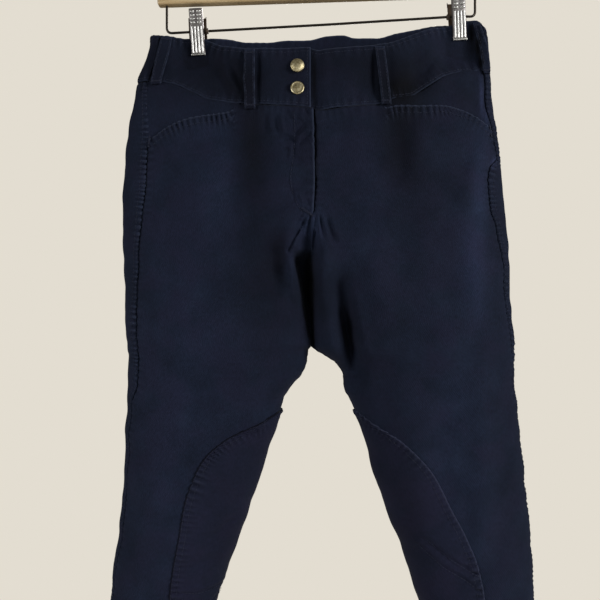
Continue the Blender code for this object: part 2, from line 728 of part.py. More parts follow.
def clip(side, materials, collection, cutters):
    """Two pressed jaws that pivot on the wire, with a sleeve that keeps them in place."""
    carrier = bpy.data.objects.new(f"clip_{side}", None)
    collection.objects.link(carrier)
    place = Vector((CLIP_X[side] - 0.4, 0.0, CLIP_WIRE_HEIGHT[side])) * MM
    carrier.matrix_world = Matrix.Translation(place) @ Matrix.Rotation(-CLIP_TILT, 4, "Y")
    jaw = [
        (-9.6, 21.0), (-7.0, 0.0), (-4.3, -28.5), (-3.3, -28.5), (-3.6, -7.2),
        (2.8, -2.6), (2.8, 3.5), (-7.6, 21.0),
    ]
    channel = [
        (-8.8, 24.0), (-6.1, 0.0), (-3.35, -31.0), (9.0, -31.0), (9.0, 24.0),
    ]
    hole = spring_hole(f"cut_hole_{side}", cutters)
    hole.parent = carrier
    for face, width in (("front", FRONT_JAW_WIDTH), ("back", BACK_JAW_WIDTH)):
        way = 1.0 if face == "front" else -1.0
        outline = [(depth * way, height) for depth, height in jaw]
        hollow = [(depth * way, height) for depth, height in channel]
        piece = side_profile(outline, width, collection, f"clip_{face}_jaw_{side}")
        piece.data.materials.append(materials["chrome"])
        inside = width - 2 * JAW_SHEET
        cutter = as_cutter(side_profile(hollow, inside, cutters, f"cut_{face}_{side}"))
        for thing in (piece, cutter):
            thing.parent = carrier
        cut_with(piece, cutter)
        cut_with(piece, hole)
    inwards = 1.0 if side == "right" else -1.0
    mesh = bmesh.new()
    bmesh.ops.create_cone(
        mesh, cap_ends=True, segments=20, radius1=3.4 * MM, radius2=3.4 * MM, depth=3.0 * MM,
        matrix=Matrix.Translation((inwards * 10.2 * MM, 0.0, 0.0)) @ Matrix.Rotation(math.pi / 2, 4, "Y"),
    )
    sleeve = add_mesh(f"clip_sleeve_{side}", mesh, materials["sleeve"], collection)
    sleeve.parent = carrier
    cut_with(sleeve, hole)


def build():
    clear_scene()
    collection = new_collection("riding_breeches")
    cutters = new_collection("cutters")
    cutters.hide_render = True
    navy = finish("navy_stretch_twill", (0.010, 0.013, 0.030), 0.85)
    patch = finish("navy_knee_patch", (0.011, 0.012, 0.026), 0.9)
    brass = finish("antique_brass", (0.35, 0.24, 0.10), 0.35, 1.0)
    hard = {
        "wood": finish("lacquered_beech", (0.72, 0.53, 0.30), 0.45),
        "chrome": finish("chromed_steel", (0.55, 0.55, 0.56), 0.2, 1.0),
        "sleeve": finish("brown_vinyl_sleeve", (0.10, 0.05, 0.03), 0.5),
    }
    for side in ("right", "left"):
        leg_panel(side, "front", navy, collection)
        leg_panel(side, "back", navy, collection)
        pocket_facing(side, navy, collection)
        waistband_front(side, navy, collection)
        knee_patch(side, patch, collection)
        clip(side, hard, collection, cutters)
    waistband_back(navy, collection)
    fly_shield(navy, collection)
    belt_loops(navy, collection)
    for name, height in SNAP_HEIGHTS.items():
        snap_cap(f"snap_cap_{name}", height, name == "lower", brass, collection)
    hanger(hard, collection)
    bpy.context.view_layer.update()


build()
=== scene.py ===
"""Riding breeches on a clip hanger: the looks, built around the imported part.

Right and left are the wearer's: the right leg is at -X, and the front faces -Y. The cloth is
worked out in millimetres from the same sections, edges and folds as the solids, on finer grids,
and turned to metres where a mesh is made.
"""

import math
from contextlib import contextmanager

import bmesh
import bpy
import numpy as np
from mathutils import Matrix, Vector


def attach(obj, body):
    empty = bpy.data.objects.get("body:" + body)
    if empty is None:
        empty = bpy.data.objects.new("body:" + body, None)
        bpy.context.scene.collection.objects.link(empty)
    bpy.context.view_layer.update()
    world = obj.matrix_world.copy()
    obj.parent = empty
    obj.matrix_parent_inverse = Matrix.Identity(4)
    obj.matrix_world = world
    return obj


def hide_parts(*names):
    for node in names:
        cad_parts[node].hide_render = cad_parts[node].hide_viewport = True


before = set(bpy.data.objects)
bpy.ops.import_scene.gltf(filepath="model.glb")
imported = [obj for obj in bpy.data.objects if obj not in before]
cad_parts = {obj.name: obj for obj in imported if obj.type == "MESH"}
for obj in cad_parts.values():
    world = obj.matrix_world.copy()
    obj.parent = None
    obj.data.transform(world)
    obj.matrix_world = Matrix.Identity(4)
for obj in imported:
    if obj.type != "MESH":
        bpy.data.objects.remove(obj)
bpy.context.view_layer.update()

MM = 0.001

# Cloth walls and the room between layers
PANEL_WALL = 1.6
BAND_WALL = 2.2
PATCH_WALL = 1.1
FACING_WALL = 1.2
LOOP_WALL = 1.5
LAYER_GAP = 0.4
SEAM_CLOSE = 0.4

# The fly: how far the right front laps over, how far it stands out and how far the left one sinks
FLY_LAP = 1.6
FLY_LIFT = 0.5
FLY_DROP = 2.5

# Heights that divide the garment
FLY_END = -315.0
SEAT_FOLD = -375.0
CROTCH = -449.6
HEM = -1130.0

# How the section closes round below the start of a leg: 1 is evenly, less is sooner
CLOSES_ROUND = 0.8

# Rounds in which the columns of a grid settle on their edges
SETTLING_ROUNDS = 10

# One row for each level, top to bottom. Outer and inner are the outline's x on each leg, the
# depths run from the middle plane to the front and to the back, and squareness is how boxy the
# section is (1 is an ellipse).
SECTION_COLUMNS = (
    "height", "right_outer", "right_inner", "left_inner", "left_outer",
    "front_depth", "back_depth", "squareness",
)
SECTIONS = (
    (-100, -172, -6.0, -6.0, 175, 18, 14, 0.50),
    (-127, -174, -6.5, -6.5, 178, 20, 15, 0.50),
    (-152, -178, -7.0, -7.0, 180, 22, 17, 0.50),
    (-178, -187, -6.0, -6.0, 181, 25, 20, 0.52),
    (-203, -192, -6.4, -6.4, 183, 29, 23, 0.54),
    (-228, -196, -6.0, -6.0, 187, 33, 26, 0.56),
    (-253, -199, -5.5, -5.5, 189, 37, 29, 0.58),
    (-285, -201, -5.2, -5.2, 193, 41, 32, 0.60),
    (-315, -202, -6.4, -6.4, 195, 44, 35, 0.62),
    (-350, -202, -7.6, -8.6, 198, 46, 38, 0.64),
    (-392, -200, -7.0, -9.6, 200, 47, 41, 0.67),
    (-442, -198, -5.6, -9.0, 203, 48, 43, 0.70),
    (-449.6, -197, -5.4, -8.6, 204, 48, 44, 0.70),
    (-456, -197, -10.2, -2, 204, 48, 44, 0.71),
    (-462, -196, -10.4, 8, 205, 48, 44, 0.72),
    (-470, -196, -11, 20, 204, 48, 44, 0.72),
    (-482, -196, -16.5, 27, 204.5, 48, 44, 0.74),
    (-493, -196, -25, 27.7, 205, 48, 44, 0.75),
    (-499, -196.5, -29.6, 28.8, 205.4, 48, 44, 0.755),
    (-505, -197, -34, 32.4, 206, 48, 44, 0.76),
    (-518, -197, -38, 39, 207.4, 48, 44, 0.77),
    (-543, -199, -47, 49, 210, 47, 44, 0.78),
    (-594, -202, -62, 63, 216, 45, 43, 0.80),
    (-644, -206, -80, 82, 221, 42, 41, 0.82),
    (-694, -213, -98, 100, 225, 39, 39, 0.84),
    (-730, -217, -110, 111, 226, 38, 38, 0.85),
    (-790, -221, -122, 124, 229, 36, 37, 0.86),
    (-860, -225, -128, 131, 232, 33, 36, 0.88),
    (-940, -229, -132, 136, 235, 32, 36, 0.90),
    (-1040, -232, -140, 145, 238, 29, 31, 0.92),
    (-1130, -234, -147, 153, 241, 27, 28, 0.94),
)

# The side seams lie a little round to the front: height, and how far in from the outline. The
# left one is folded over where the pocket ends.
SIDE_SEAMS = {
    "right": (
        (-100, 12), (-152, 13), (-186, 15.2), (-210, 20), (-239, 25), (-289, 27.6), (-316, 25.4),
        (-344, 23.4), (-394, 19.2), (-435, 15.4), (-490, 14.8), (-509, 9.0), (-546, 8.7),
        (-589, 7.6), (-631, 7.4), (-659, 6.4), (-760, 3.0), (-900, 1.5), (-1130, 1.0),
    ),
    "left": (
        (-100, 6), (-150, 6.5), (-173, 7.3), (-204, 9.2), (-223, 8.0), (-240, 7.4), (-258, 5.0),
        (-271, 16.5), (-285, 20), (-312, 20), (-326, 17), (-344, 14.6), (-361, 11.8), (-393, 11),
        (-425, 8.3), (-452, 7), (-489, 5.8), (-516, 3.8), (-594, 2), (-700, 1), (-1130, 1),
    ),
}

# Edges across the whole width: x and height
BAND_TOP_FRONT = (
    (-174, -129), (-158, -131), (-126, -131), (-115, -133), (-96, -143), (-72, -147),
    (-43, -148), (-8, -147), (2, -149), (20, -147), (54, -145), (71, -142), (91, -135),
    (121, -123), (139, -118), (150, -114.5), (157, -112.5), (166, -112.5), (170, -115.5),
    (173, -119.5), (180, -126),
)
BAND_TOP_BACK = (
    (-174, -129), (-158, -131), (-126, -131), (-110, -129), (-93, -127), (-72, -129),
    (-51, -129), (-34, -127), (-7, -126), (10, -122), (28, -121), (41, -124), (64, -124),
    (87, -119), (121, -115), (139, -115.5), (150, -113.5), (157, -112), (166, -112),
    (170, -115), (173, -119), (180, -126),
)
BAND_SEAM_FRONT = (
    (-187, -179), (-167, -181), (-150, -182), (-128, -191), (-112, -200), (-95, -204),
    (-77, -206), (-37, -208), (-5, -211), (4, -213), (20, -211), (41, -208), (61, -207),
    (74, -202), (95, -198), (104, -192), (117, -184), (134, -173), (152, -168), (182, -167),
)
BAND_SEAM_BACK = (
    (-187, -179), (-140, -180), (-80, -184), (0, -186), (80, -180), (140, -170), (182, -167),
)
POCKET_MOUTH = (
    (-200, -247), (-172, -241), (-154, -230), (-134, -222), (-114, -218), (-96, -216),
    (-86, -213), (-80, -200), (0, -100), (62, -200), (68, -210), (82, -208), (97, -208),
    (126, -207), (142, -210), (159, -216), (173, -225), (179, -231), (200, -236),
)

# The largest folds, as in the solids, and below them the finer creases, on each face. Each row
# gives the two ends of the line (x, height), the half width at each end, how far it sinks in (or,
# below zero, stands out), and how far the line's middle is pushed aside.
FOLDS = {
    "front": (
        (-10, -316, -13, -446, 9, 9, 12, 0), (-20, -322, -42, -378, 10, 10, -5, 0),
        (3, -322, 14, -474, 10, 10, -7, 0), (20, -362, 34, -474, 10, 10, 8, 0),
        (-32, -335, -58, -410, 14, 14, 5, 0), (44, -330, 72, -440, 16, 16, -4, 0),
        (-57, -212, -55, -300, 10, 10, 3, 0), (82, -208, 84, -298, 10, 10, 3, 0),
        (146, -262, 162, -440, 14, 14, -4, 0), (162, -420, 165, -680, 14, 14, -4, 0),
        (-126, -250, -130, -470, 30, 30, -3, 0), (-110, -150, -84, -214, 7, 7, 3, 0),
        (-96, -150, -72, -196, 6, 6, 2.5, 0), (116, -150, 98, -206, 8, 8, 4, 0),
        (130, -470, 112, -640, 18, 18, 3, 0), (-140, -480, -170, -640, 20, 20, -3, 0),
        (-70, -610, -118, -655, 8, 8, 3, 0),
    ),
    "back": (
        (-8, -300, -9, -440, 9, 9, 8, 0), (-24, -380, -120, -452, 12, 12, 6, 0),
        (8, -380, 110, -456, 12, 12, 6, 0), (-40, -470, -140, -510, 11, 11, 5, 0),
        (40, -474, 150, -516, 11, 11, 5, 0), (-150, -520, -160, -700, 18, 18, 4, 0),
        (150, -500, 172, -690, 18, 18, 4, 0), (-90, -200, -84, -300, 12, 12, 3, 0),
        (84, -196, 92, -290, 12, 12, 3, 0), (-200, -760, -140, -800, 11, 11, 4, 0),
        (205, -750, 140, -795, 11, 11, 4, 0), (-195, -830, -145, -868, 11, 11, 3, 0),
        (200, -840, 145, -872, 11, 11, 3, 0),
    ),
}
CREASES = {
    "front": (
        # around the gap: its lit rim, the hollow beside it and the gathered seam above it
        (-31, -348, -15, -434, 4.5, 4.0, -4.5, 1), (-41, -345, -35.5, -403, 15, 7, 8.0, 0),
        (1, -360, 5, -450, 5.0, 4.0, -3.0, 0), (24, -372, 48, -474, 6.0, 7.0, -4.0, -2),
        (17, -372, 38, -486, 9.0, 11.0, 7, -2), (24.4, -406, 39, -492, 3.8, 8.5, 17, -2),
        (-10.5, -316, -20, -338, 1.2, 1.8, -1.6, 1), (-8.5, -316, -15, -346, 1.3, 1.8, -1.9, 0),
        (-4.5, -316, -6.5, -352, 1.2, 1.6, -2.0, 0), (-1, -316, 2.5, -352, 1.2, 1.6, -1.9, 0),
        (3, -317, 11, -348, 1.3, 2.0, -1.7, 0), (8, -318, 18, -352, 2.0, 3.0, 1.8, 1),
        (12, -320, 24, -350, 2.0, 2.6, -1.2, 1), (-13, -318, -24, -336, 1.2, 1.6, 1.4, 1),
        (-6.5, -318, -10.5, -344, 1.1, 1.3, 1.3, 0), (1, -318, 6.5, -346, 1.1, 1.3, 1.3, 0),
        # wrinkles beside the fly
        (-43, -217, -37, -245, 2.0, 2.0, 1.7, 1), (-38, -214, -32, -240, 2.0, 2.0, -2.3, 1),
        (-49, -214, -44, -243, 2.2, 2.4, -1.8, 1), (-54, -212, -51, -238, 2.8, 2.8, 1.3, 0),
        (-38, -243, -19, -248, 1.7, 1.6, 3.0, -2), (-36, -238, -20, -242, 1.8, 1.8, -1.9, -2),
        (-40, -250, -24, -256, 2.0, 2.0, -1.8, -2), (-26, -242, -8, -224, 1.5, 1.5, 2.3, -1),
        (-24, -247, -4, -230, 1.6, 1.8, -2.9, -1), (-22, -253, -4, -237, 1.6, 1.7, 2.5, -1),
        (-23, -240, -24, -266, 1.1, 1.2, 1.5, 0), (-27, -246, -28, -268, 1.4, 1.4, -1.5, 0),
        (-28, -211, -22, -224, 1.6, 1.6, -2.0, 1), (-20, -219, -12, -225, 1.4, 1.4, -1.9, 0),
        (-15, -211, -8, -218, 1.5, 1.5, 1.9, 0), (-10, -245, -3, -250, 1.4, 1.4, -1.6, 0),
        (-14, -262, -3, -266, 2.0, 2.0, 1.2, 0), (-38, -262, -12, -270, 3.4, 3.0, 1.6, -2),
        (-36, -294, -10, -286, 3.0, 2.6, 1.4, 2), (-28, -302, -8, -300, 2.2, 2.2, 1.1, 1),
        (-27, -294, -22, -307, 1.4, 1.4, 1.4, 0), (-19, -298, -14, -312, 1.4, 1.4, -1.3, 0),
        (-12, -302, -8, -314, 1.3, 1.3, 1.2, 0), (-64, -322, -22, -304, 4.0, 3.0, 2.2, 3),
        (4, -232, 16, -238, 2.4, 3.0, 1.0, 0), (3, -258, 14, -262, 2.2, 3.0, 0.9, 0),
        # folds that run down from the clips
        (-114, -146, -86, -204, 3.2, 2.6, 2.4, 1), (-106, -146, -78, -198, 2.6, 2.6, -1.6, 1),
        (-98, -146, -74, -188, 2.6, 2.2, 1.9, 1), (-122, -156, -112, -200, 3.5, 3.0, 1.5, 0),
        (-140, -156, -154, -190, 4.0, 3.5, 1.6, 0), (131, -140, 108, -176, 3.4, 3.0, 1.9, 0),
        (124, -140, 98, -170, 3.0, 3.0, -1.3, 0), (158, -138, 166, -170, 3.4, 3.0, 1.6, 0),
        (106, -166, 88, -192, 6.0, 6.0, 2.0, 0),
        # hips and thighs
        (72, -214, 74, -262, 4.0, 6.0, 1.4, 0), (96, -214, 92, -246, 3.0, 4.0, 0.9, 0),
        (-66, -214, -64, -262, 4.0, 6.0, 1.2, 0), (168, -236, 174, -262, 4.0, 4.0, -1.6, 1),
        (150, -236, 146, -286, 7.0, 8.0, 1.6, 0), (26, -330, 66, -352, 9.0, 9.0, 0.9, 3),
        (-160, -330, -140, -420, 10.0, 12.0, 1.0, 4), (110, -330, 128, -430, 12.0, 12.0, 1.1, -4),
        (60, -470, 84, -560, 8.0, 10.0, 1.4, 3), (-60, -470, -96, -560, 8.0, 10.0, 1.2, -3),
        (190, -470, 186, -600, 6.0, 6.0, 1.3, 0), (148, -560, 150, -700, 7.0, 7.0, 1.1, 3),
        (-184, -560, -190, -700, 8.0, 8.0, 1.0, 0),
        # the knees and the lower legs
        (-78, -614, -113, -648, 3.0, 3.0, 1.6, 0), (-96, -664, -150, -676, 5.0, 6.0, 1.3, 2),
        (-120, -640, -152, -632, 4.0, 5.0, 0.8, 1), (96, -636, 140, -664, 5.0, 5.0, 1.2, 2),
        (-210, -742, -150, -766, 7.0, 8.0, 2.2, 3), (218, -738, 156, -770, 7.0, 8.0, 2.2, -3),
        (-212, -806, -158, -822, 6.0, 7.0, 1.8, -3), (222, -812, 160, -834, 6.0, 7.0, 1.8, 2),
        (-216, -880, -164, -905, 6.0, 7.0, 1.4, 2), (226, -890, 168, -908, 6.0, 7.0, 1.4, 2),
        (-190, -950, -196, -1080, 9.0, 9.0, 1.4, 2), (196, -960, 204, -1080, 9.0, 9.0, 1.4, -2),
    ),
    "back": (
        # the seat and the backs of the legs
        (-60, -196, -52, -250, 5.0, 6.0, 1.3, 1), (44, -194, 52, -246, 5.0, 6.0, 1.2, -1),
        (-128, -176, -118, -214, 4.0, 4.0, 1.6, 0), (148, -160, 138, -200, 4.0, 4.0, 1.6, 0),
        (-14, -392, -88, -430, 6.0, 7.0, 2.2, 5), (6, -394, 82, -434, 6.0, 7.0, 2.2, -5),
        (-30, -440, -122, -474, 6.0, 7.0, 2.4, 4), (26, -446, 128, -480, 6.0, 7.0, 2.4, -4),
        (-70, -556, -150, -578, 6.0, 7.0, 1.6, 3), (74, -552, 160, -580, 6.0, 7.0, 1.6, -3),
        (-100, -640, -180, -652, 7.0, 8.0, 1.8, -3), (104, -636, 192, -650, 7.0, 8.0, 1.8, 3),
        (-126, -712, -206, -726, 6.0, 7.0, 2.6, 3), (130, -706, 214, -722, 6.0, 7.0, 2.6, -3),
        (-132, -746, -210, -742, 5.0, 6.0, 2.0, 2), (136, -742, 218, -738, 5.0, 6.0, 2.0, -2),
        (-176, -900, -186, -1060, 10.0, 10.0, 1.6, 3), (180, -900, 192, -1060, 10.0, 10.0, 1.6, -3),
    ),
}
# Creases with steep sides: the deep gap between the legs below the fly, the fold that runs down
# to it from the bar tack, and the crease beside that
SHARP_CREASES = {
    "front": (
        (-16, -353, -4.5, -458, 9.3, 1.8, 40, 0), (-12.5, -324, -30.5, -360, 1.5, 2.4, 4.2, 2),
        (-3, -334, -4, -362, 1.3, 1.8, 3.4, 0),
    ),
    "back": (),
}
# Each table, how steep its creases' sides are, and the share of their length that the ends take
CREASE_KINDS = ((FOLDS, 2.0, 0.3), (CREASES, 2.0, 0.3), (SHARP_CREASES, 5.0, 0.14))

# The clips' pinch: x of each clip, and how the pinch fades sideways and downwards
CLIP_X = {"right": -125.0, "left": 147.0}
CLIP_WIRE_HEIGHT = {"right": -122.9, "left": -107.0}
PINCH_STRENGTH = 1.03
PINCH_HALF_WIDTH = 25.0
PINCH_STEEPNESS = 4
PINCH_FULL_ABOVE = {"right": -153.0, "left": -140.0}
PINCH_FADE = 52.0
PINCHED_DEPTH = BAND_WALL + 0.4

# A crease takes away no more than this share of the section's depth
DEEPEST_CREASE = 0.93

# The grid of a leg panel on each face: the steps down it (start, end, step), the columns round it,
# and the height where its inner edge leaves the middle seam
PANEL_GRID = {
    "front": (((-212, -480, 2.0), (-480, -740, 2.4), (-740, HEM, 4.6)), 112, FLY_END),
    "back": (
        ((-212, -330, 1.2), (-330, -480, 1.8), (-480, -740, 2.6), (-740, HEM, 4.6)), 76, SEAT_FOLD,
    ),
}
TOP_BLEND_END = -315.0
CROWDING = 1.45

# The fly's lap lies flat at its edge and runs out beside it, and it ends at the start of the leg
LAP_FLAT = 1.6
LAP_RUN_OUT = 3.6
LAP_ENDS_OVER = 8.0

# How a leg panel's edges change along them: the fly's edge ends above the crotch, the inseam takes
# over where the leg starts, the side seam behind gets softer down the leg, and the pocket's mouth
# starts where it leaves the band
FLY_EDGE_END = -330.0
FLY_EDGE_ENDS_OVER = 12.0
LEG_STARTS_OVER = 10.0
INSEAM_STRENGTH = 0.6
SIDE_SOFTENS_AT = -440.0
SIDE_SOFTENS_OVER = 60.0
SIDE_SOFTENED_BY = 0.6
MOUTH_STARTS_OVER = 7.0
SEAT_STITCHED = (0.0, 0.27)

# The hip facing: its grid, the x where it ends under the front, how far it runs on below the pocket
# mouth and under the band (mm) and round under the side seam (radians), and how far below the
# front's face it lies: it steps down at its covered edges and slopes in where it shows
FACING_COLUMNS = 60
FACING_ROWS = 40
FACING_NEAR_X = {"right": -78.0, "left": 63.0}
FACING_TUCK = 12.0
FACING_UNDER = 5.0
FACING_ROUND = {"right": 0.09, "left": 0.045}
FACING_SINK = 1.9
FACING_FLUSH = 0.15
FACING_SLOPE = 14.0
FACING_TOP_FLAT = 1.5
FACING_SIDE_FLAT = 2.0
FACING_STEP = 3.5

# The waistband's grid, and where its front ends: the right end laps over, the left one under, and
# from near to far the underlap steps back behind the right end
BAND_ROWS = 44
BAND_COLUMNS = {"front": 110, "back": 84}
BAND_CROWDING = 0.9
BAND_END_X = {"right": -7.0, "left": -42.0}
UNDERLAP_NEAR = 9.0
UNDERLAP_FAR = -3.0
UNDERLAP_SINK = BAND_WALL + 2 * LAYER_GAP + 0.3

# Heights to start from when the columns of a grid settle on their edges
FIRST_GUESS = {"band_top": -135.0, "band_seam": -190.0, "facing": -205.0}

# Dents in the front band: the middle of each (x, height), its half width and half height, depth
BAND_DENTS = (
    (-61.5, -180, 2.4, 26, 2.4), (-76, -180, 3, 24, 0.7), (57.5, -178, 2.2, 26, 2.2),
    (73, -176, 3, 22, 0.5), (-100, -163, 7, 16, 1.0), (-88, -182, 6, 12, 1.2),
    (-146, -158, 8, 12, 1.0), (-44, -165, 7, 14, -0.8), (-30, -181, 8, 14, 1.2),
    (-10, -178, 4, 20, 0.9), (12, -184, 8, 18, 1.0), (28, -172, 7, 18, -0.8),
    (42, -184, 6, 14, 0.9), (86, -172, 8, 16, -0.8), (103, -166, 9, 15, 2.6),
    (116, -160, 6, 12, -0.8), (134, -152, 7, 12, 1.2), (161.5, -124, 1.6, 9, 2.0),
    (167.2, -140, 1.6, 9, 2.0), (169.8, -158, 1.6, 11, 1.8),
)

# Knee patches: height, and the x of the front edge on each leg (the back edge mirrors it)
PATCH_EDGES = (
    (-519, -40, 42), (-530, -64, 58), (-543, -92, 80), (-560, -112, 100), (-580, -123, 116),
    (-610, -133, 131), (-640, -138, 147), (-670, -144, 159), (-700, -148, 165),
    (-760, -155, 172), (-830, -160, 175), (-890, -157, 170), (-930, -146, 158),
    (-948, -139, 146),
)
PATCH_EDGE_COLUMN = {"right": 1, "left": 2}
# The right patch's edges are darkened by painted shade in their seams, the left one's painted paler
# from rubbing and painted highlight
PATCH_EDGE_KIND = {"right": "patch", "left": "rubbed_patch"}
PATCH_COLUMNS = 84
PATCH_CROWDING = 0.06
PATCH_STEP = 1.6
PATCH_LIFT = 0.3

# Darts and creases sewn on the knee patches: the line (x, height), and how high its ridge stands.
# Each has a groove on the line, a ridge beside it, higher on its upper side, and puckers over both:
# how deep or high, the distance from the line, and the half width.
DART_GROOVE = (0.7, 0.0, 1.0)
DART_RIDGE = (1.0, 3.2, 2.6)
DART_RIDGE_EVEN = 0.6
DART_RIDGE_ABOVE = 0.4
DART_PUCKER = (0.45, 3.5, 3.5)
DART_PUCKER_PITCH = 7.0
PATCH_DARTS = {
    "right": ((((-146, -692), (-122, -698), (-100, -696)), 1.0), (((-116, -716), (-96, -704)), 0.6)),
    "left": (
        (((101, -649), (125, -670), (146, -682), (162, -694)), 1.0),
        (((108, -642), (131, -661), (150, -673), (163, -680)), 0.8),
    ),
}

# The strip behind the fly, its curved stitching (x, height), its bar tack, and the tacks at the
# pocket ends
FLY_SHIELD = {"left_x": 9.0, "right_x": -36.0, "top": -216.0, "foot": -308.0}
FLY_SHIELD_COLUMNS = 20
FLY_SHIELD_ROWS = 30
FLY_SHIELD_SINK = PANEL_WALL + 2 * LAYER_GAP + 0.4
FLY_STITCH = (
    (-24, -214), (-23, -241), (-24, -257), (-27, -284), (-25.5, -296), (-21, -309), (-15, -319),
)
FLY_TACK = ((-16.5, -313.5), (-5.5, -321.5))
POCKET_TACKS = {
    "right": ((-170, -238), (-171, -250)),
    "left": ((176, -226), (178, -238)),
}

# The belt loops: side, face, x from the top to the foot, heights, half width and how far the loop
# stands clear. The left side loop is folded round the seam, so little of it faces forward.
BELT_LOOPS = {
    "front_right": ("right", "front", (-69.0, -68.0), (-150.0, -213.0), 5.4, 3.4),
    "front_left": ("left", "front", (63.0, 69.0), (-147.0, -208.0), 5.0, 3.4),
    "side_right": ("right", "front", (-155.6, -165.0), (-133.0, -184.0), 5.4, 3.4),
    "side_left": ("left", "front", (166.4, 172.8, 174.6), (-116.0, -171.0), 3.6, 2.4),
    "back": ("right", "back", (-12.0, -12.0), (-129.0, -190.0), 5.4, 3.4),
}
LOOP_COLUMNS = 14
LOOP_ROWS = 54

# A loop arches up from its tacks, over this span of its length. Its turned edges stand proud and dip
# at the very edge, wrinkles cross it, and its tacks pull it down: how high or deep, the distance
# from its side or its end, and the half width. Its sides are painted paler unevenly, and each
# differently, from rubbing and painted highlight.
LOOP_ARCH_SPAN = (0.02, 0.98)
LOOP_ARCH_POWER = 0.5
LOOP_FOLD = (0.35, 1.5, 1.0)
LOOP_EDGE_DIP = (0.5, 0.0, 0.5)
LOOP_TACK_DIP = (0.35, 3.0, 1.2)
LOOP_WRINKLE = 0.22
LOOP_WRINKLE_PITCH = 9.0
LOOP_WRINKLE_SLANT = 5.0
LOOP_SIDES_RUB_AND_HIGHLIGHT = (0.42, 0.3, 13.0)
LOOP_SIDES_APART = 9.0
LOOP_END_RUB = (0.35, 0.0, 1.5)
LOOP_TACK_ROWS = (3, LOOP_ROWS - 3)

# Snap caps: where they sit, their sides, and the rings each is turned from (radius, height)
SNAP_X = -20.5
SNAP_HEIGHTS = {"upper": -167.0, "lower": -191.0}
SNAP_SIDES = 40
SNAP_RINGS = {
    "upper": (
        (6.27, 0.0), (6.935, 0.5), (7.03, 1.2), (6.84, 1.9), (6.365, 2.3), (5.89, 2.3),
        (5.605, 2.4), (4.75, 2.85), (3.705, 3.2), (2.28, 3.5), (0.95, 3.6), (0.1425, 3.62),
    ),
    "lower": (
        (6.27, 0.0), (6.935, 0.6), (7.03, 1.4), (6.745, 2.1), (6.27, 2.4), (5.795, 2.4),
        (5.415, 2.2), (4.94, 2.1), (3.705, 2.35), (2.28, 2.6), (0.95, 2.7), (0.1425, 2.72),
    ),
}

# The hanger: the bar and the hook are measured before they tip about the hook's inside, and the
# wire as it hangs, down from the bar at each end and along under it
TILT = math.radians(1.86)
BAR_LENGTH = 342.0
BAR_HEIGHT = 31.7
BAR_DEPTH = 13.0
BAR_CENTRE_X = 1.3
BAR_TOP = -60.4
BAR_BEVEL = 2.4
BAR_TAPER = (1.0, 0.86, 0.92)
BAR_TAPERS_OVER = 20.0
HOOK_WIRE = 3.6
HOOK_RADIUS = 20.0
HOOK_SHANK = ((0.0, 0.0, -60.0), (0.0, 0.0, -50.2), (0.5, 0.0, -47.5))
HOOK_DEGREES = range(-68, 200, 6)
RAIL_WIRE = 2.6
RAIL_BEND = 6.0
RAIL_CORNERS = (
    (-157.6, 0.0, -92.9), (-157.6, 0.0, -124.6), (13.7, 0.0, -115.2),
    (150.0, 0.0, -106.6), (165.9, 0.0, -107.2), (165.9, 0.0, -82.7),
)

# A clip's parts, in its own millimetres: x across, y depth, z up, with the pivot at the origin.
# A jaw's bends run down it from the tail to the lip (depth, height). Its folds run across it: the
# place in its width, and how far back the sheet stands there.
CLIP_TILT = math.radians(3.4)
CLIP_SHIFT = {"right": -0.4, "left": 0.9}
JAW_BENDS = (
    (-9.4, 21.0), (-8.6, 15.0), (-7.9, 8.0), (-7.2, 1.5), (-6.6, -6.0), (-6.0, -14.0),
    (-5.4, -19.5), (-4.6, -24.0), (-3.6, -26.2),
)
JAW_FOLDS = (
    (-0.5, 4.2), (-0.47, 1.3), (-0.43, 0.15), (-0.15, 0.0), (0.0, 0.0), (0.15, 0.0),
    (0.43, 0.15), (0.47, 1.3), (0.5, 4.2),
)
JAW_FOLDS_END = 3.3
JAW_SHEET = 0.8
JAW_BEVEL = 0.22
FRONT_JAW_WIDTH = 14.6
BACK_JAW_WIDTH = 19.2
BACK_JAW_TAIL = 0.82
BUMP_ROWS = (17.6, 13.9, 10.2, 6.5)
BUMP_COLUMNS = (-3.4, 3.4)
BUMP_SIZE = (2.8, 2.0, 1.4)
BUMP_SIDES = 16
RIB_COLUMNS = (-5.025, -1.675, 1.675, 5.025)
RIB_SPAN = (2.4, -23.4)
RIB_WIDTH = 1.9
RIB_SINK = 0.25
RIB_POINTS = 12
RIB_CAP = (1.0, 1.0, 1.0)
RIB_CAP_SIDES = 12
SPRING_TURNS = 5
SPRING_STEPS = 14
SPRING_LENGTH = 10.4
SPRING_RADIUS = 2.55
SPRING_WIRE = 0.9
SLEEVE_RINGS = ((1.9, -1.6), (2.6, -1.5), (2.9, -1.1), (2.9, 1.1), (2.6, 1.5), (1.9, 1.6))
SLEEVE_SIDES = 24
SLEEVE_FROM_MIDDLE = 10.2

# The jaws' lips: size, place, bevel and the steps of the bevel
FRONT_LIP = ((15.0, 1.8, 2.0), (0, -4.5, -25.4), 0.8, 4)
BACK_LIP = ((18.6, 1.6, 2.2), (0, -4.3, -25.3), 0.5, 3)

# The view: level, along +Y, with this much of the middle plane across the frame
CAMERA_X = -17.85
CAMERA_HEIGHT = -404.5
CAMERA_DISTANCE = 700.0
FRAME_WIDTH = 630.0
SENSOR_WIDTH = 36.0

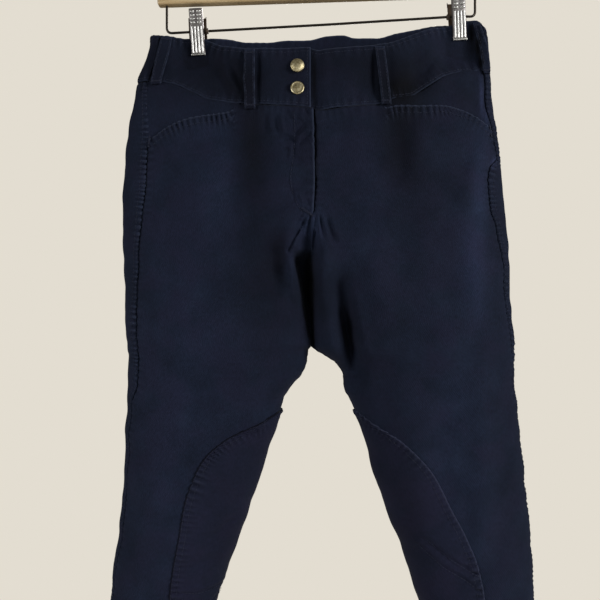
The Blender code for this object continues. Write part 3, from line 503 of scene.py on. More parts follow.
# Soft lamps: place and target in metres, size of the diffuser, power in watts
LAMPS = {
    "key_softbox": ((2.0, -1.35, 0.15), (0.0, 0.0, -0.5), (1.0, 1.2), 55.0),
    "left_softbox": ((-2.1, -1.2, -0.3), (0.0, 0.0, -0.5), (1.2, 1.2), 29.5),
    "low_fill": ((0.25, -1.9, -0.35), (0.0, 0.0, -0.4), (0.9, 0.6), 3.0),
    "back_softbox": ((0.5, 2.3, 0.9), (0.0, 0.0, -0.6), (1.4, 1.2), 46.0),
}
LAMP_COLOUR = (1.0, 0.97, 0.93)
WALL_COLOUR = "e3ddd1"
ROOM_LIGHT = 0.14
FLOOR_RADIUS = 1.1
FLOOR_SIDES = 96
FLOOR_HEIGHT = -1.33

# The way round that each leg's grid runs, and the way that each face's angles rise
SIGN = {"right": 1.0, "left": -1.0}
WAY = {"front": 1.0, "back": -1.0}

# How each kind of sewn edge is finished, in millimetres: how far the edge itself dips, the lines
# of stitches in from it, how high the puckers stand, their pitch and reach, how thick the turned
# allowance is and how far it goes, and how much paler the edge is painted, from rubbing and painted
# highlight, or, below zero, how dark the painted shade in its seam is
EDGES = {
    "band_end": (0.3, (), 0.15, 9.0, 5.0, 0.0, 1.0, -0.5),
    "side_front": (1.7, (), 0.55, 7.0, 6.0, 0.1, 3.0, -0.8),
    "side_back": (1.2, (2.0, 6.4), 1.5, 5.2, 7.0, 0.25, 8.0, 0.30),
    "fly": (0.5, (), 0.35, 9.0, 8.0, 0.3, 8.0, 0.62),
    "under_fly": (0.6, (), 0.35, 7.0, 10.0, 0.0, 1.0, -0.8),
    "mouth": (0.7, (1.8, 7.6), 1.35, 5.8, 10.0, 0.45, 9.0, 0.85),
    "waist_seam": (0.8, (), 0.60, 7.5, 10.0, 0.15, 4.0, -0.4),
    "band_top": (0.8, (4.6,), 0.70, 8.0, 8.5, 0.35, 7.0, 0.70),
    "band_foot": (0.7, (3.4,), 0.60, 8.0, 9.0, 0.30, 6.0, 0.50),
    "inseam": (0.7, (), 0.45, 8.0, 6.0, 0.2, 5.0, -0.5),
    "seat": (0.9, (2.2, 7.4), 0.45, 8.0, 6.0, 0.35, 9.0, 0.25),
    "patch": (0.9, (1.9, 7.0), 1.5, 6.0, 10.0, 0.15, 8.0, -0.9),
    "rubbed_patch": (1.2, (1.9, 7.0), 1.2, 6.4, 9.0, 0.15, 8.0, 0.80),
    "hem": (0.5, (18.0,), 0.45, 9.0, 12.0, 0.5, 18.0, 0.35),
}

# What all the edges share: the half widths of the dip, of a line of stitches and of the strip that
# is painted paler or darker, how deep the stitches pull, over how much the allowance runs out, and
# how much paler the puckers' crests are painted, from rubbing and painted highlight, and how much
# darker their troughs, from painted shade.
# Puckers are highest this share of their reach in from the edge, and spread over this share of it.
# They come in patches: the even part, the uneven part, and the length of a patch in pitches.
DIP_WIDTH = 0.9
STITCH_WIDTH = 0.75
STITCH_SINK = 0.32
WORN_AND_SHADED_WIDTH = 0.95
ALLOWANCE_STEP = 2.4
PUCKER_WEAR_AND_SHADE = 0.21
PUCKER_MIDDLE = 0.45
PUCKER_SPREAD = 0.75
PUCKER_PATCHES = (0.95, 0.3, 7.3)

# The cloth's slack: the wavelength and height of its waves, how many there are of each, how many of
# them add up in most places, and the start of the random draws for each piece
SLACK_WAVES = ((64, 0.55), (46, 0.42), (31, 0.30), (21, 0.18), (14, 0.10))
WAVES_OF_EACH = 3
WAVES_THAT_ADD = 1.8
SLACK_SEED = {"right": 3, "left": 5}
BAND_SEED = {"right": 11, "left": 13, "back": 17}

# The thread: its width, the length of a stitch, the pitch from one to the next, and the step along
# a line that is drawn on the cloth. The rows run this far in from each kind of edge. A bar tack has
# long slanting stitches side by side: their pitch, their length and how much they lean. A row
# starts and ends this share of a pitch in from the line's ends, and a stitch takes its direction
# from this far each way. Its ends are blunt, and its middle stands off the cloth by a share of half
# the thread's width.
THREAD_WIDTH = 0.55
STITCH_LENGTH = 2.7
STITCH_PITCH = 3.4
DRAWN_STEP = 1.2
ROW_STARTS = 0.6
ROW_ENDS = 0.4
STITCH_LOOKS = 0.8
STITCH_BLUNTNESS = 1.35
STITCH_PROUD = 0.05
TACK_PROUD = 0.8
STITCH_ROWS = {
    "mouth": (1.9, 7.6), "side": (2.0, 6.4), "seat": (2.4, 7.6), "hem": (18.0,),
    "band_top": (4.6,), "band_foot": (3.4,), "fly": (3.6,), "patch": (1.9, 7.0), "loop": (2.2,),
}
TACKS = {"loop": (0.9, 2.6, 1.6), "fly": (0.8, 3.0, 1.7), "pocket": (0.8, 2.8, 1.7)}

# How far the lines that are drawn on the cloth are lifted off it
LINE_LIFT = {"fly": 0.15, "fly_tack": 0.4, "pocket_tack": 0.5, "dart": 0.3}

# The small steps that find how the cloth runs: round it (radians) and down it (mm) from a drawn
# line, and the steps of a walk round the section
LOOK_ROUND = 0.012
LOOK_DOWN = 1.0
WALK_STEPS = 12
WALK_LOOK = 0.01

# Where the navy is painted paler or darker, on each face: places that washing and rubbing have
# changed, and painted shade and highlights: shade in hollows and folds, beside the belt loops and
# over the band, and highlights on lit ridges and edges. Each row gives the middle of the place
# (x, height), its half width and half height, and how much paler (or, below zero, darker) it is.
# Each face's places reach this far past the middle plane.
FADES_AND_PAINTED_LIGHT = {
    "front": (
        (-150, -160, 80, 40, -0.36), (-20, -165, 110, 40, -0.30), (100, -165, 90, 42, -0.32),
        (88, -190, 30, 16, -0.30), (-80, -186, 20, 20, -0.25), (-3.5, -180, 2.4, 34, -0.45),
        (-66, -250, 18, 60, -0.66), (84, -240, 22, 58, -0.60), (-15, -250, 22, 50, -0.22),
        (-2, -262, 2.4, 52, -0.40), (30, -250, 26, 50, -0.10), (-104, -236, 22, 10, 0.20),
        (-54, -385, 34, 70, -0.42), (-39, -362, 9, 26, -0.25), (2, -400, 22, 50, -0.24),
        (-9, -395, 6, 44, -0.60), (30, -440, 10, 34, -0.40), (60, -430, 30, 60, -0.16),
        (110, -300, 34, 60, -0.16), (168, -250, 10, 30, 0.34), (181, -262, 2.4, 3.5, 1.6),
        (177.5, -267, 2.4, 4, 1.3), (163, -300, 9, 36, 0.70), (164, -134, 9, 16, -0.45),
        (168.5, -197, 2.0, 20, 1.3), (173, -219, 2.2, 11, 0.9), (150, -200, 12, 16, -0.15),
        (155, -368, 12, 44, 0.80), (160, -410, 10, 22, 0.20), (186, -300, 10, 60, -0.20),
        (100, -400, 36, 80, -0.06), (-6, -334, 11, 16, 1.0), (162, -124, 1.6, 8, -0.9),
        (167.6, -140, 1.6, 9, -0.9), (170.2, -158, 1.6, 10, -0.9), (-29, -375, 5, 26, 0.35),
        (-95, -280, 26, 44, 0.20), (-95, -340, 40, 60, 0.05), (-140, -420, 46, 130, 0.20),
        (128, -560, 24, 110, 0.34), (160, -640, 18, 90, 0.22), (196, -600, 16, 120, -0.10),
        (-160, -600, 40, 120, 0.22), (-110, -480, 40, 60, 0.12), (-118, -640, 16, 60, 0.12),
        (96, -600, 12, 60, -0.14),
    ),
    "back": (
        (-90, -330, 60, 80, 0.30), (90, -330, 60, 80, 0.32), (-130, -560, 50, 120, 0.20),
        (140, -560, 50, 120, 0.20), (0, -160, 160, 40, -0.30), (-6, -400, 30, 90, -0.25),
    ),
}
# The darkest that the painted shade may make the cloth
DARKEST_PAINTED_SHADE = -0.85
FACE_OVERLAP = 4.0

# The twill's diagonals are 0.6 mm apart on the real cloth, and drawn three times as coarse so that
# they show. The sizes of its yarns' slubs, its washed clouds, its tinge of dye and its lint are in
# millimetres too.
TWILL_PITCH = 1.9
TWILL_LEAN = math.radians(27)
YARN_SLUBS = 1.6129
WASH_CLOUDS = 41.667
DYE_TINGE = 29.412
LINT_SPACING = 4.1667


# ---------------------------------------------------------------- the shape of the cloth


def curve_through(points):
    """A smooth curve y(x) through points sorted by x, which never overshoots them."""
    xs, ys = np.array(points, float).T
    span = np.diff(xs)
    secant = np.diff(ys) / span
    before, after = secant[:-1], secant[1:]
    same_way = before * after > 0
    total = np.where(same_way, before + after, 1.0)
    middle = np.where(same_way, 2 * before * after / total, 0.0)
    slope = np.concatenate([secant[:1], middle, secant[-1:]])

    def value(x):
        x = np.clip(x, xs[0], xs[-1])
        i = np.clip(np.searchsorted(xs, x, side="right") - 1, 0, len(xs) - 2)
        t = (x - xs[i]) / span[i]
        start = ys[i] * (1 + 2 * t) + span[i] * slope[i] * t
        end = ys[i + 1] * (3 - 2 * t) + span[i] * slope[i + 1] * (t - 1)
        return start * (1 - t) ** 2 + end * t**2

    return value


def rising_curve(rows, column):
    """The curve of one column of a table whose rows run down from the top."""
    return curve_through([(row[0], row[column]) for row in reversed(rows)])


SECTION = {name: rising_curve(SECTIONS, k) for k, name in enumerate(SECTION_COLUMNS) if k}
SEAM_INSET = {side: rising_curve(places, 1) for side, places in SIDE_SEAMS.items()}
band_top_front = curve_through(BAND_TOP_FRONT)
band_top_back = curve_through(BAND_TOP_BACK)
band_seam_front = curve_through(BAND_SEAM_FRONT)
band_seam_back = curve_through(BAND_SEAM_BACK)
pocket_mouth = curve_through(POCKET_MOUTH)
jaw_face = curve_through([(height, depth) for depth, height in reversed(JAW_BENDS)])


def eased(share):
    """A share from 0 to 1 that starts and ends gently."""
    share = np.clip(share, 0.0, 1.0)
    return share * share * (3 - 2 * share)


def bell(gap, width):
    """1 where the gap is 0, falling to nothing by about twice the width."""
    return np.exp(-((gap / width) ** 2))


def ridge_at(gap, shape):
    """A ridge beside a line: its height, its distance from the line and its half width."""
    height, middle, half_width = shape
    return height * bell(gap - middle, half_width)


def unit(vectors):
    """The vectors at length 1."""
    return vectors / np.maximum(np.linalg.norm(vectors, axis=-1, keepdims=True), 1e-9)


def crease_depth(face, x, height):
    """How far the folds and creases push the cloth towards the middle plane."""
    total = np.zeros_like(x)
    for table, steepness, end_share in CREASE_KINDS:
        for x0, height0, x1, height1, width0, width1, sink, bow in table[face]:
            run_x, run_height = x1 - x0, height1 - height0
            length = math.hypot(run_x, run_height)
            from_x, from_height = x - x0, height - height0
            along = (from_x * run_x + from_height * run_height) / length**2
            aside = (from_x * run_height - from_height * run_x) / length
            share = np.clip(along, 0.0, 1.0)
            aside = aside - bow * 4 * share * (1 - share)
            half_width = width0 + (width1 - width0) * share
            ends = eased(along / end_share) * eased((1 - along) / end_share)
            total += sink * ends * np.exp(-(np.abs(aside / half_width) ** steepness))
    return total


def pinch(x, height):
    """1 where a clip holds front and back together, 0 away from the clips."""
    total = np.zeros_like(x)
    for side, clip_x in CLIP_X.items():
        sideways = PINCH_STRENGTH / (1 + ((x - clip_x) / PINCH_HALF_WIDTH) ** PINCH_STEEPNESS)
        below = PINCH_FULL_ABOVE[side] - height
        total += np.minimum(sideways, 1.0) * (1 - eased(below / PINCH_FADE))
    return np.clip(total, 0.0, 1.0)


def end_angle(height, start):
    """Where the panel ends round the section: a quarter turn over the body, half at a leg."""
    share = np.clip((start - height) / (start - CROTCH), 0.0, 1.0)
    return math.pi / 2 * (1 + share**CLOSES_ROUND)


def place_x(side, angle, height):
    """The x of a point of the section. Angle 0 is the outline and rises round the front."""
    outer = SECTION[side + "_outer"](height)
    inner = SECTION[side + "_inner"](height)
    front = np.sin(angle) > 0
    end = np.where(front, end_angle(height, FLY_END), end_angle(height, SEAT_FOLD))
    return outer + (inner - outer) * (1 - np.cos(angle)) / (1 - np.cos(end))


def angle_at(side, x, height, face="front"):
    """The angle at which the section passes a given x."""
    outer = SECTION[side + "_outer"](height)
    inner = SECTION[side + "_inner"](height)
    end = end_angle(height, FLY_END if face == "front" else SEAT_FOLD)
    share = (x - outer) / (inner - outer) * (1 - np.cos(end))
    return np.arccos(np.clip(1 - share, -1.0, 1.0)) * WAY[face]


def seam_angle(side, height):
    """The side seam's angle: it lies a little way round to the front."""
    outer = SECTION[side + "_outer"](height)
    return angle_at(side, outer + SEAM_INSET[side](height) * SIGN[side], height)


def surface(side, angle, height):
    """The cloth's outer face, with its folds and creases."""
    angle, height = np.broadcast_arrays(angle, height)
    x = place_x(side, angle, height)
    swell = np.abs(np.sin(angle))
    depths = []
    for face in WAY:
        full = SECTION[face + "_depth"](height) * swell ** SECTION["squareness"](height)
        sunk = np.minimum(crease_depth(face, x, height) * swell, full * DEEPEST_CREASE)
        depths.append(full - sunk)
    front = np.sin(angle) > 0
    depth = np.where(front, *depths)
    held = pinch(x, height)
    depth = depth * (1 - held) + np.minimum(PINCHED_DEPTH, depth) * held
    return np.stack([x, np.where(front, -depth, depth), height], axis=-1)


def outwards(points, facing):
    """The outward direction at each point of a grid. Facing is 1 or -1 for the way it runs."""
    across = np.gradient(points, axis=1)
    down = np.gradient(points, axis=0)
    return unit(np.cross(down, across)) * facing


def pushed(points, facing, far):
    """The grid, pushed outwards by a distance that may differ from point to point."""
    return points + outwards(points, facing) * np.asarray(far)[..., None]


def settle_heights(side, angle_of, edge, guess):
    """The heights at which columns given by angle_of(height) meet the edge height(x)."""
    height = guess
    for _ in range(SETTLING_ROUNDS):
        height = edge(place_x(side, angle_of(height), height))
    return height


def carried_on(points, reach):
    """The grid with its last column carried on by the reach, to close up with its neighbour."""
    points = points.copy()
    points[:, -1] += reach[:, None] * unit(points[:, -1] - points[:, -3])
    return points


def run_along(points, axis):
    """How far each point of a grid is along its row or column, in millimetres."""
    steps = np.linalg.norm(np.diff(points, axis=axis), axis=-1)
    reached = np.cumsum(steps, axis=axis)
    first = np.zeros_like(np.take(reached, [0], axis=axis))
    return np.concatenate([first, reached], axis=axis)


# ---------------------------------------------------------------- seams, puckers and slack


def ripple(along, pitch, phase):
    """An uneven wave from -1 to 1, as cloth puckers along a seam. It drifts and swells by slower
    waves whose lengths don't divide, so that it doesn't repeat."""
    slow = 0.45 * np.sin(along / (2.9 * pitch) + phase)
    drift = slow + 0.3 * np.sin(along / (1.7 * pitch) + 2 * phase)
    strength = 0.74 + 0.26 * np.sin(along / (5.3 * pitch) + 3 * phase)
    return np.sin(2 * math.pi * (along / pitch + drift)) * strength


def slack(points, seed):
    """The low, uneven give of the cloth between the folds."""
    random = np.random.default_rng(seed)
    total = np.zeros(points.shape[:2])
    for wavelength, height in SLACK_WAVES:
        for _ in range(WAVES_OF_EACH):
            turn = random.uniform(0, math.pi)
            phase = random.uniform(0, 2 * math.pi)
            run = points[..., 0] * math.cos(turn) + points[..., 2] * math.sin(turn)
            total += height / WAVES_THAT_ADD * np.sin(2 * math.pi * run / wavelength + phase)
    return total


def edge_finish(kind, distance, along, phase):
    """How a sewn edge lifts the cloth near it, and how much paler or darker it is painted: rubbing
    and painted highlight on the edge and the puckers' crests, painted shade in the seam and the
    troughs.
    """
    dip, stitches, pucker, pitch, reach, ridge, allowance, wear_and_painted_light = EDGES[kind]
    past_allowance = eased((distance - allowance + ALLOWANCE_STEP / 2) / ALLOWANCE_STEP)
    lift = ridge * (1 - past_allowance) - dip * bell(distance, DIP_WIDTH)
    near = bell(distance - PUCKER_MIDDLE * reach, PUCKER_SPREAD * reach)
    even, uneven, pitches = PUCKER_PATCHES
    patchy = even + uneven * ripple(along, pitches * pitch, phase + 3)
    puckered = pucker * patchy * ripple(along, pitch, phase) * near
    for line in stitches:
        lift = lift - STITCH_SINK * bell(distance - line, STITCH_WIDTH)
    return lift + puckered, wear_and_painted_light * bell(distance, WORN_AND_SHADED_WIDTH) + PUCKER_WEAR_AND_SHADE * puckered


def from_edge(points, edge):
    """How far each point of a grid is from one of its edges, and its place along that edge."""
    rows_cross = edge in ("top", "foot")
    axis = 0 if rows_cross else 1
    from_far_side = edge in ("foot", "last")
    if from_far_side:
        points = np.flip(points, axis)
    run = run_along(points, axis)
    line = np.take(points, 0, axis)
    inwards = unit(np.take(points, 2, axis) - line)
    place = run_along(line[None], 1)[0]
    lean = np.sum(inwards * unit(np.gradient(line, axis=0)), axis=-1)
    square = np.sqrt(np.maximum(1 - lean**2, 0.05))
    if not rows_cross:
        lean, square, place = lean[:, None], square[:, None], place[:, None]
    distance = run * square
    along = place + run * lean
    if from_far_side:
        distance, along = np.flip(distance, axis), np.flip(along, axis)
    return distance, along


def finished(points, facing, edges, seed):
    """The grid with its slack and its sewn edges, and how much paler each point is painted, from
    rubbing and painted highlight, or darker, from painted shade.
    """
    lift = slack(points, seed)
    wear_and_painted_light = np.zeros(points.shape[:2])
    for edge, kind, strength in edges:
        distance, along = from_edge(points, edge)
        raised, worn_and_painted_light = edge_finish(kind, distance, along, seed + len(kind))
        lift = lift + raised * strength
        wear_and_painted_light = wear_and_painted_light + worn_and_painted_light * strength
    return pushed(points, facing, lift), np.clip(wear_and_painted_light, -1, 1)


def distance_to_route(x, height, route):
    """The distance from a line drawn on the front, the side of it, and the place along it."""
    nearest = np.full(x.shape, 1e9)
    side = np.zeros(x.shape)
    along = np.zeros(x.shape)
    walked_so_far = 0.0
    for (x0, z0), (x1, z1) in zip(route, route[1:]):
        length = math.hypot(x1 - x0, z1 - z0)
        share = np.clip(((x - x0) * (x1 - x0) + (height - z0) * (z1 - z0)) / length**2, 0, 1)
        gap = np.hypot(x - x0 - share * (x1 - x0), height - z0 - share * (z1 - z0))
        closer = gap < nearest
        nearest = np.where(closer, gap, nearest)
        turn = (x1 - x0) * (height - z0) - (z1 - z0) * (x - x0)
        side = np.where(closer, np.sign(turn), side)
        along = np.where(closer, walked_so_far + share * length, along)
        walked_so_far += length
    return nearest, side, along


# ---------------------------------------------------------------- meshes


def fading_and_painted_light(points):
    """How much paler or darker the cloth is painted at each point: washed places, and painted shade
    and highlights.
    """
    x, y, height = np.moveaxis(points, -1, 0)
    total = np.zeros(x.shape)
    for face, places in FADES_AND_PAINTED_LIGHT.items():
        on_face = -y * WAY[face] > -FACE_OVERLAP
        for middle_x, middle_height, half_width, half_height, paler in places:
            spot = bell(x - middle_x, half_width) * bell(height - middle_height, half_height)
            total += paler * spot * on_face
    return np.maximum(total, DARKEST_PAINTED_SHADE)


def new_object(name, data):
    """An object with this mesh, curve, lamp or camera, put into the scene."""
    made = bpy.data.objects.new(name, data)
    bpy.context.scene.collection.objects.link(made)
    return made


def cloth_mesh(name, points, facing, wall, wear_and_painted_light, material):
    """A cloth wall from a grid of points, its outer face, thickened inwards."""
    rows, columns = points.shape[:2]
    index = np.arange(rows * columns).reshape(rows, columns)
    corners = (index[:-1, :-1], index[1:, :-1], index[1:, 1:], index[:-1, 1:])
    faces = np.stack([corner.ravel() for corner in corners], axis=1)
    if facing < 0:
        faces = faces[:, ::-1]
    mesh = bpy.data.meshes.new(name)
    mesh.from_pydata((points.reshape(-1, 3) * MM).tolist(), [], faces.tolist())
    mesh.shade_smooth()
    across = run_along(points, 1)
    laid_flat = np.stack([across - across[:, -1:] / 2, points[..., 2]], axis=-1) * MM
    order = np.empty(len(mesh.loops), int)
    mesh.loops.foreach_get("vertex_index", order)
    flat_map = mesh.uv_layers.new(name="cloth")
    flat_map.data.foreach_set("uv", laid_flat.reshape(-1, 2)[order].ravel())
    # Both attributes carry painted light into the cloth's colour along with its rubbing and washing:
    # highlights on edges and ridges, and shade in seams, hollows and folds
    for looks, values in (("wear_and_painted_light", wear_and_painted_light), ("fade_and_painted_light", fading_and_painted_light(points))):
        attribute = mesh.attributes.new(looks, "FLOAT", "POINT")
        attribute.data.foreach_set("value", values.ravel())
    mesh.materials.append(material)
    piece = new_object(name, mesh)
    thickness = piece.modifiers.new("Wall", "SOLIDIFY")
    thickness.thickness = wall * MM
    thickness.offset = -1.0
    apply_modifiers(piece)
    return piece


def only(piece):
    """Makes the piece the one that is selected and active."""
    if bpy.context.object and bpy.context.object.mode != "OBJECT":
        bpy.ops.object.mode_set(mode="OBJECT")
    bpy.ops.object.select_all(action="DESELECT")
    piece.select_set(True)
    bpy.context.view_layer.objects.active = piece


def apply_modifiers(piece):
    """Puts the piece's modifiers into its mesh."""
    only(piece)
    for modifier in list(piece.modifiers):
        bpy.ops.object.modifier_apply(modifier=modifier.name)


def hung(piece, node):
    """Attaches a cloth piece to the root in place of its solid, which it hides."""
    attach(piece, "root")
    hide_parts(node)


def mounted(piece, name, node=None):
    piece.name = piece.data.name = name
    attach(piece, "root")
    if node:
        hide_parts(node)


# ---------------------------------------------------------------- stitches


def stitch_line(points, facing, edge, inset, span=(0.0, 1.0)):
    """The line a fixed distance in from a grid's edge, with the cloth's facing along it."""
    normals = outwards(points, facing)
    distance, _ = from_edge(points, edge)
    if edge in ("top", "foot"):
        points, normals = np.swapaxes(points, 0, 1), np.swapaxes(normals, 0, 1)
        distance = distance.T
    if edge in ("foot", "last"):
        points, normals, distance = points[:, ::-1], normals[:, ::-1], distance[:, ::-1]
    first, last = (int(share * (len(points) - 1)) for share in span)
    line = []
    facings = []
    for row in range(first, last + 1):
        if distance[row, -1] < inset:
            continue
        reach = np.interp(inset, distance[row], np.arange(distance.shape[1]))
        near = min(int(reach), distance.shape[1] - 2)
        share = reach - near
        line.append(points[row, near] * (1 - share) + points[row, near + 1] * share)
        facings.append(normals[row, near])
    return np.array(line), np.array(facings)


def drawn_line(side, route, lift):
    """A line drawn on the front of the leg through points (x, height), lifted off the cloth."""
    ends = np.array(route, float)
    reach = np.concatenate([[0], np.cumsum(np.hypot(*np.diff(ends, axis=0).T))])
    spots = np.linspace(0, reach[-1], max(3, int(reach[-1] / DRAWN_STEP)))
    x = np.interp(spots, reach, ends[:, 0])
    height = np.interp(spots, reach, ends[:, 1])
    angle = angle_at(side, x, height)
    here = surface(side, angle, height)
    ahead = surface(side, angle + LOOK_ROUND, height) - here
    lower = surface(side, angle, height - LOOK_DOWN) - here
    normals = unit(np.cross(lower, ahead)) * SIGN[side]
    return here + normals * lift, normals


class Threads:
    """Stitches, each a short capsule of thread, gathered and made into one mesh."""

    def __init__(self):
        self.places = []

    def sew(
        self, line, normals, pitch=STITCH_PITCH, length=STITCH_LENGTH, lean=0.0, proud=STITCH_PROUD
    ):
        """Stitches along a line of points, half sunk in the cloth."""
        if len(line) < 3:
            return
        reach = np.concatenate([[0], np.cumsum(np.linalg.norm(np.diff(line, axis=0), axis=1))])
        spots = np.arange(pitch * ROW_STARTS, reach[-1] - pitch * ROW_ENDS, pitch)
        if len(spots) < 2:
            return

        def at_spots(values, shift=0.0):
            return np.stack([np.interp(spots + shift, reach, column) for column in values.T], axis=1)

        up = unit(at_spots(normals))
        way = unit(at_spots(line, STITCH_LOOKS) - at_spots(line, -STITCH_LOOKS))
        aside = unit(np.cross(up, way))
        way = unit(np.cross(aside, up) + aside * lean)
        aside = unit(np.cross(up, way))
        at = at_spots(line) + up * (THREAD_WIDTH * 0.5 * proud)
        self.places.append((at, way * (length / 2), aside * THREAD_WIDTH / 2, up * THREAD_WIDTH / 2))

    def sew_edge(self, points, facing, edge, kind, span=(0.0, 1.0)):
        """The rows of stitches that this kind of edge has."""
        for inset in STITCH_ROWS[kind]:
            self.sew(*stitch_line(points, facing, edge, inset, span))

    def tack(self, line, normals, kind):
        """A bar tack: the stitches lie on the cloth, and slant across the line."""
        pitch, length, lean = TACKS[kind]
        self.sew(line, normals, pitch, length, lean, TACK_PROUD)

    def make(self, name, material):
        """One stitch is shaped from a sphere of few sides, and copied to every place."""
        pattern = primitive("uv_sphere", segments=5, ring_count=3, radius=1.0)
        shape = np.array([vertex.co[:] for vertex in pattern.data.vertices])
        shape[:, 2] = np.clip(shape[:, 2] * STITCH_BLUNTNESS, -1, 1)
        sides = [list(face.vertices) for face in pattern.data.polygons]
        bpy.data.objects.remove(pattern)
        at, way, aside, up = (np.concatenate(part)[:, None] for part in zip(*self.places))
        points = at + shape[:, 2:3] * way + shape[:, 0:1] * aside + shape[:, 1:2] * up
        starts = range(0, len(at) * len(shape), len(shape))
        faces = [[corner + start for corner in side] for start in starts for side in sides]
        mesh = bpy.data.meshes.new(name)
        mesh.from_pydata((points.reshape(-1, 3) * MM).tolist(), [], faces)
        mesh.shade_smooth()
        mesh.materials.append(material)
        mounted(new_object(name, mesh), name)


# ---------------------------------------------------------------- the cloth pieces


def panel_levels(stretches):
    """The heights of a leg panel's rows, from the waist seam to the hem."""
    levels = [float(stretches[0][0])]
    for start, end, step in stretches:
        count = round((start - end) / step)
        levels += [start + (end - start) * k / count for k in range(1, count + 1)]
    return np.array(levels)


def panel_edges(side, face, height, start, mouth):
    """The sewn edges of a leg panel, and how strongly each shows: below the start of the leg the
    inner edge is the inseam, above it the fly or the seat seam."""
    on_leg = eased((start - height) / LEG_STARTS_OVER)
    if face == "front":
        side_seam = 1.0
        middle = "fly" if side == "right" else "under_fly"
        middle_seam = (1 - on_leg) * eased((height - FLY_EDGE_END) / FLY_EDGE_ENDS_OVER)
        pocket = [("top", "mouth", mouth)]
    else:
        side_seam = 1 - SIDE_SOFTENED_BY * eased((SIDE_SOFTENS_AT - height) / SIDE_SOFTENS_OVER)
        middle, middle_seam = "seat", 1 - on_leg
        pocket = []
    return [
        ("top", "waist_seam", 1 - mouth), ("first", f"side_{face}", side_seam),
        ("foot", "hem", 1.0), ("last", middle, middle_seam),
        ("last", "inseam", on_leg * INSEAM_STRENGTH), *pocket,
    ]


def leg_panel(side, face, cloth, threads):
    """A leg panel from the waist seam to the hem: side seam to fly or seat seam, then inseam."""
    front = face == "front"
    stretches, columns, start = PANEL_GRID[face]
    levels = panel_levels(stretches)
    share = 1 - (1 - np.linspace(0, 1, columns + 1)) ** CROWDING
    facing = SIGN[side] * WAY[face]

    def angle_of(height):
        seam = seam_angle(side, height)
        return seam + (WAY[face] * end_angle(height, start) - seam) * share

    def top_edge(x):
        if front:
            return np.minimum(band_seam_front(x), pocket_mouth(x))
        return band_seam_back(x)

    top = settle_heights(side, angle_of, top_edge, np.full(columns + 1, levels[0]))
    blend = 1 - eased((levels[0] - levels) / (levels[0] - TOP_BLEND_END))
    height = levels[:, None] + (top - levels[0])[None, :] * blend[:, None]
    points = surface(side, angle_of(height), height)
    above = 1 - eased((start - height[:, -1]) / LAP_ENDS_OVER)
    fly_reach = FLY_LAP if front and side == "right" else 0.0
    points = carried_on(points, SEAM_CLOSE * (1 - above) + (SEAM_CLOSE + fly_reach) * above)
    if front:
        from_fly, _ = from_edge(points, "last")
        near_fly = 1 - eased((from_fly - LAP_FLAT) / LAP_RUN_OUT)
        lap = (FLY_LIFT if side == "right" else -FLY_DROP) * above[:, None]
        points = pushed(points, facing, lap * near_fly)
    mouth = 0.0
    if front:
        x_top = points[0, :, 0][None, :]
        mouth = eased((band_seam_front(x_top) - pocket_mouth(x_top)) / MOUTH_STARTS_OVER)
    edges = panel_edges(side, face, points[..., 2], start, mouth)
    points, wear_and_painted_light = finished(points, facing, edges, SLACK_SEED[side])
    piece = cloth_mesh(f"{side}_{face}_leg_cloth", points, facing, PANEL_WALL, wear_and_painted_light, cloth)
    hung(piece, f"{face}_leg_{side}")
    if front:
        open_mouth = mouth[0] > 0.5
        for inset in STITCH_ROWS["mouth"]:
            line, normals = stitch_line(points, facing, "top", inset)
            keep = open_mouth[: len(line)]
            threads.sew(line[keep], normals[keep])
    else:
        threads.sew_edge(points, facing, "first", "side")
        threads.sew_edge(points, facing, "last", "seat", SEAT_STITCHED)
    threads.sew_edge(points, facing, "foot", "hem")


def pocket_facing(side, cloth):
    """The hip piece behind the pocket mouth, one layer in from the front panel."""
    share = np.linspace(0, 1, FACING_COLUMNS + 1)

    def angle_of(height):
        seam = seam_angle(side, height)
        return seam + (angle_at(side, FACING_NEAR_X[side], height) - seam) * share

    guess = np.full(FACING_COLUMNS + 1, FIRST_GUESS["facing"])
    top = settle_heights(side, angle_of, band_seam_front, guess)
    mouth = settle_heights(side, angle_of, pocket_mouth, guess)
    foot = np.minimum(mouth, top) - FACING_TUCK
    down = np.linspace(0, 1, FACING_ROWS)[:, None]
    height = top + FACING_UNDER + (foot - top - FACING_UNDER) * down
    angle = angle_of(height) - FACING_ROUND[side] * (1 - share) ** 2
    points = surface(side, angle, height)
    facing = SIGN[side]
    from_top, _ = from_edge(points, "top")
    from_side, _ = from_edge(points, "first")
    under_band = 1 - eased((from_top - FACING_TOP_FLAT) / FACING_STEP)
    under_side = 1 - eased((from_side - FACING_SIDE_FLAT) / FACING_STEP)
    shown = np.minimum(from_top, from_side) - FACING_UNDER
    open_sink = FACING_FLUSH + (FACING_SINK - FACING_FLUSH) * eased(shown / FACING_SLOPE)
    hidden = np.maximum(under_band, under_side)
    sink = open_sink + (BAND_WALL + LAYER_GAP - open_sink) * hidden
    points = pushed(points, facing, -sink)
    points, wear_and_painted_light = finished(points, facing, [], SLACK_SEED[side])
    piece = cloth_mesh(f"{side}_hip_facing_cloth", points, facing, FACING_WALL, wear_and_painted_light, cloth)
    hung(piece, f"pocket_facing_{side}")


def band_grid(side, angle_of, top_edge, seam_edge, columns):
    """The outer face of a waistband stretch."""
    guess = np.ones(columns)
    top = settle_heights(side, angle_of, top_edge, guess * FIRST_GUESS["band_top"])
    seam = settle_heights(side, angle_of, seam_edge, guess * FIRST_GUESS["band_seam"])
    height = top + (seam - top) * np.linspace(0, 1, BAND_ROWS)[:, None]
    return surface(side, angle_of(height), height)


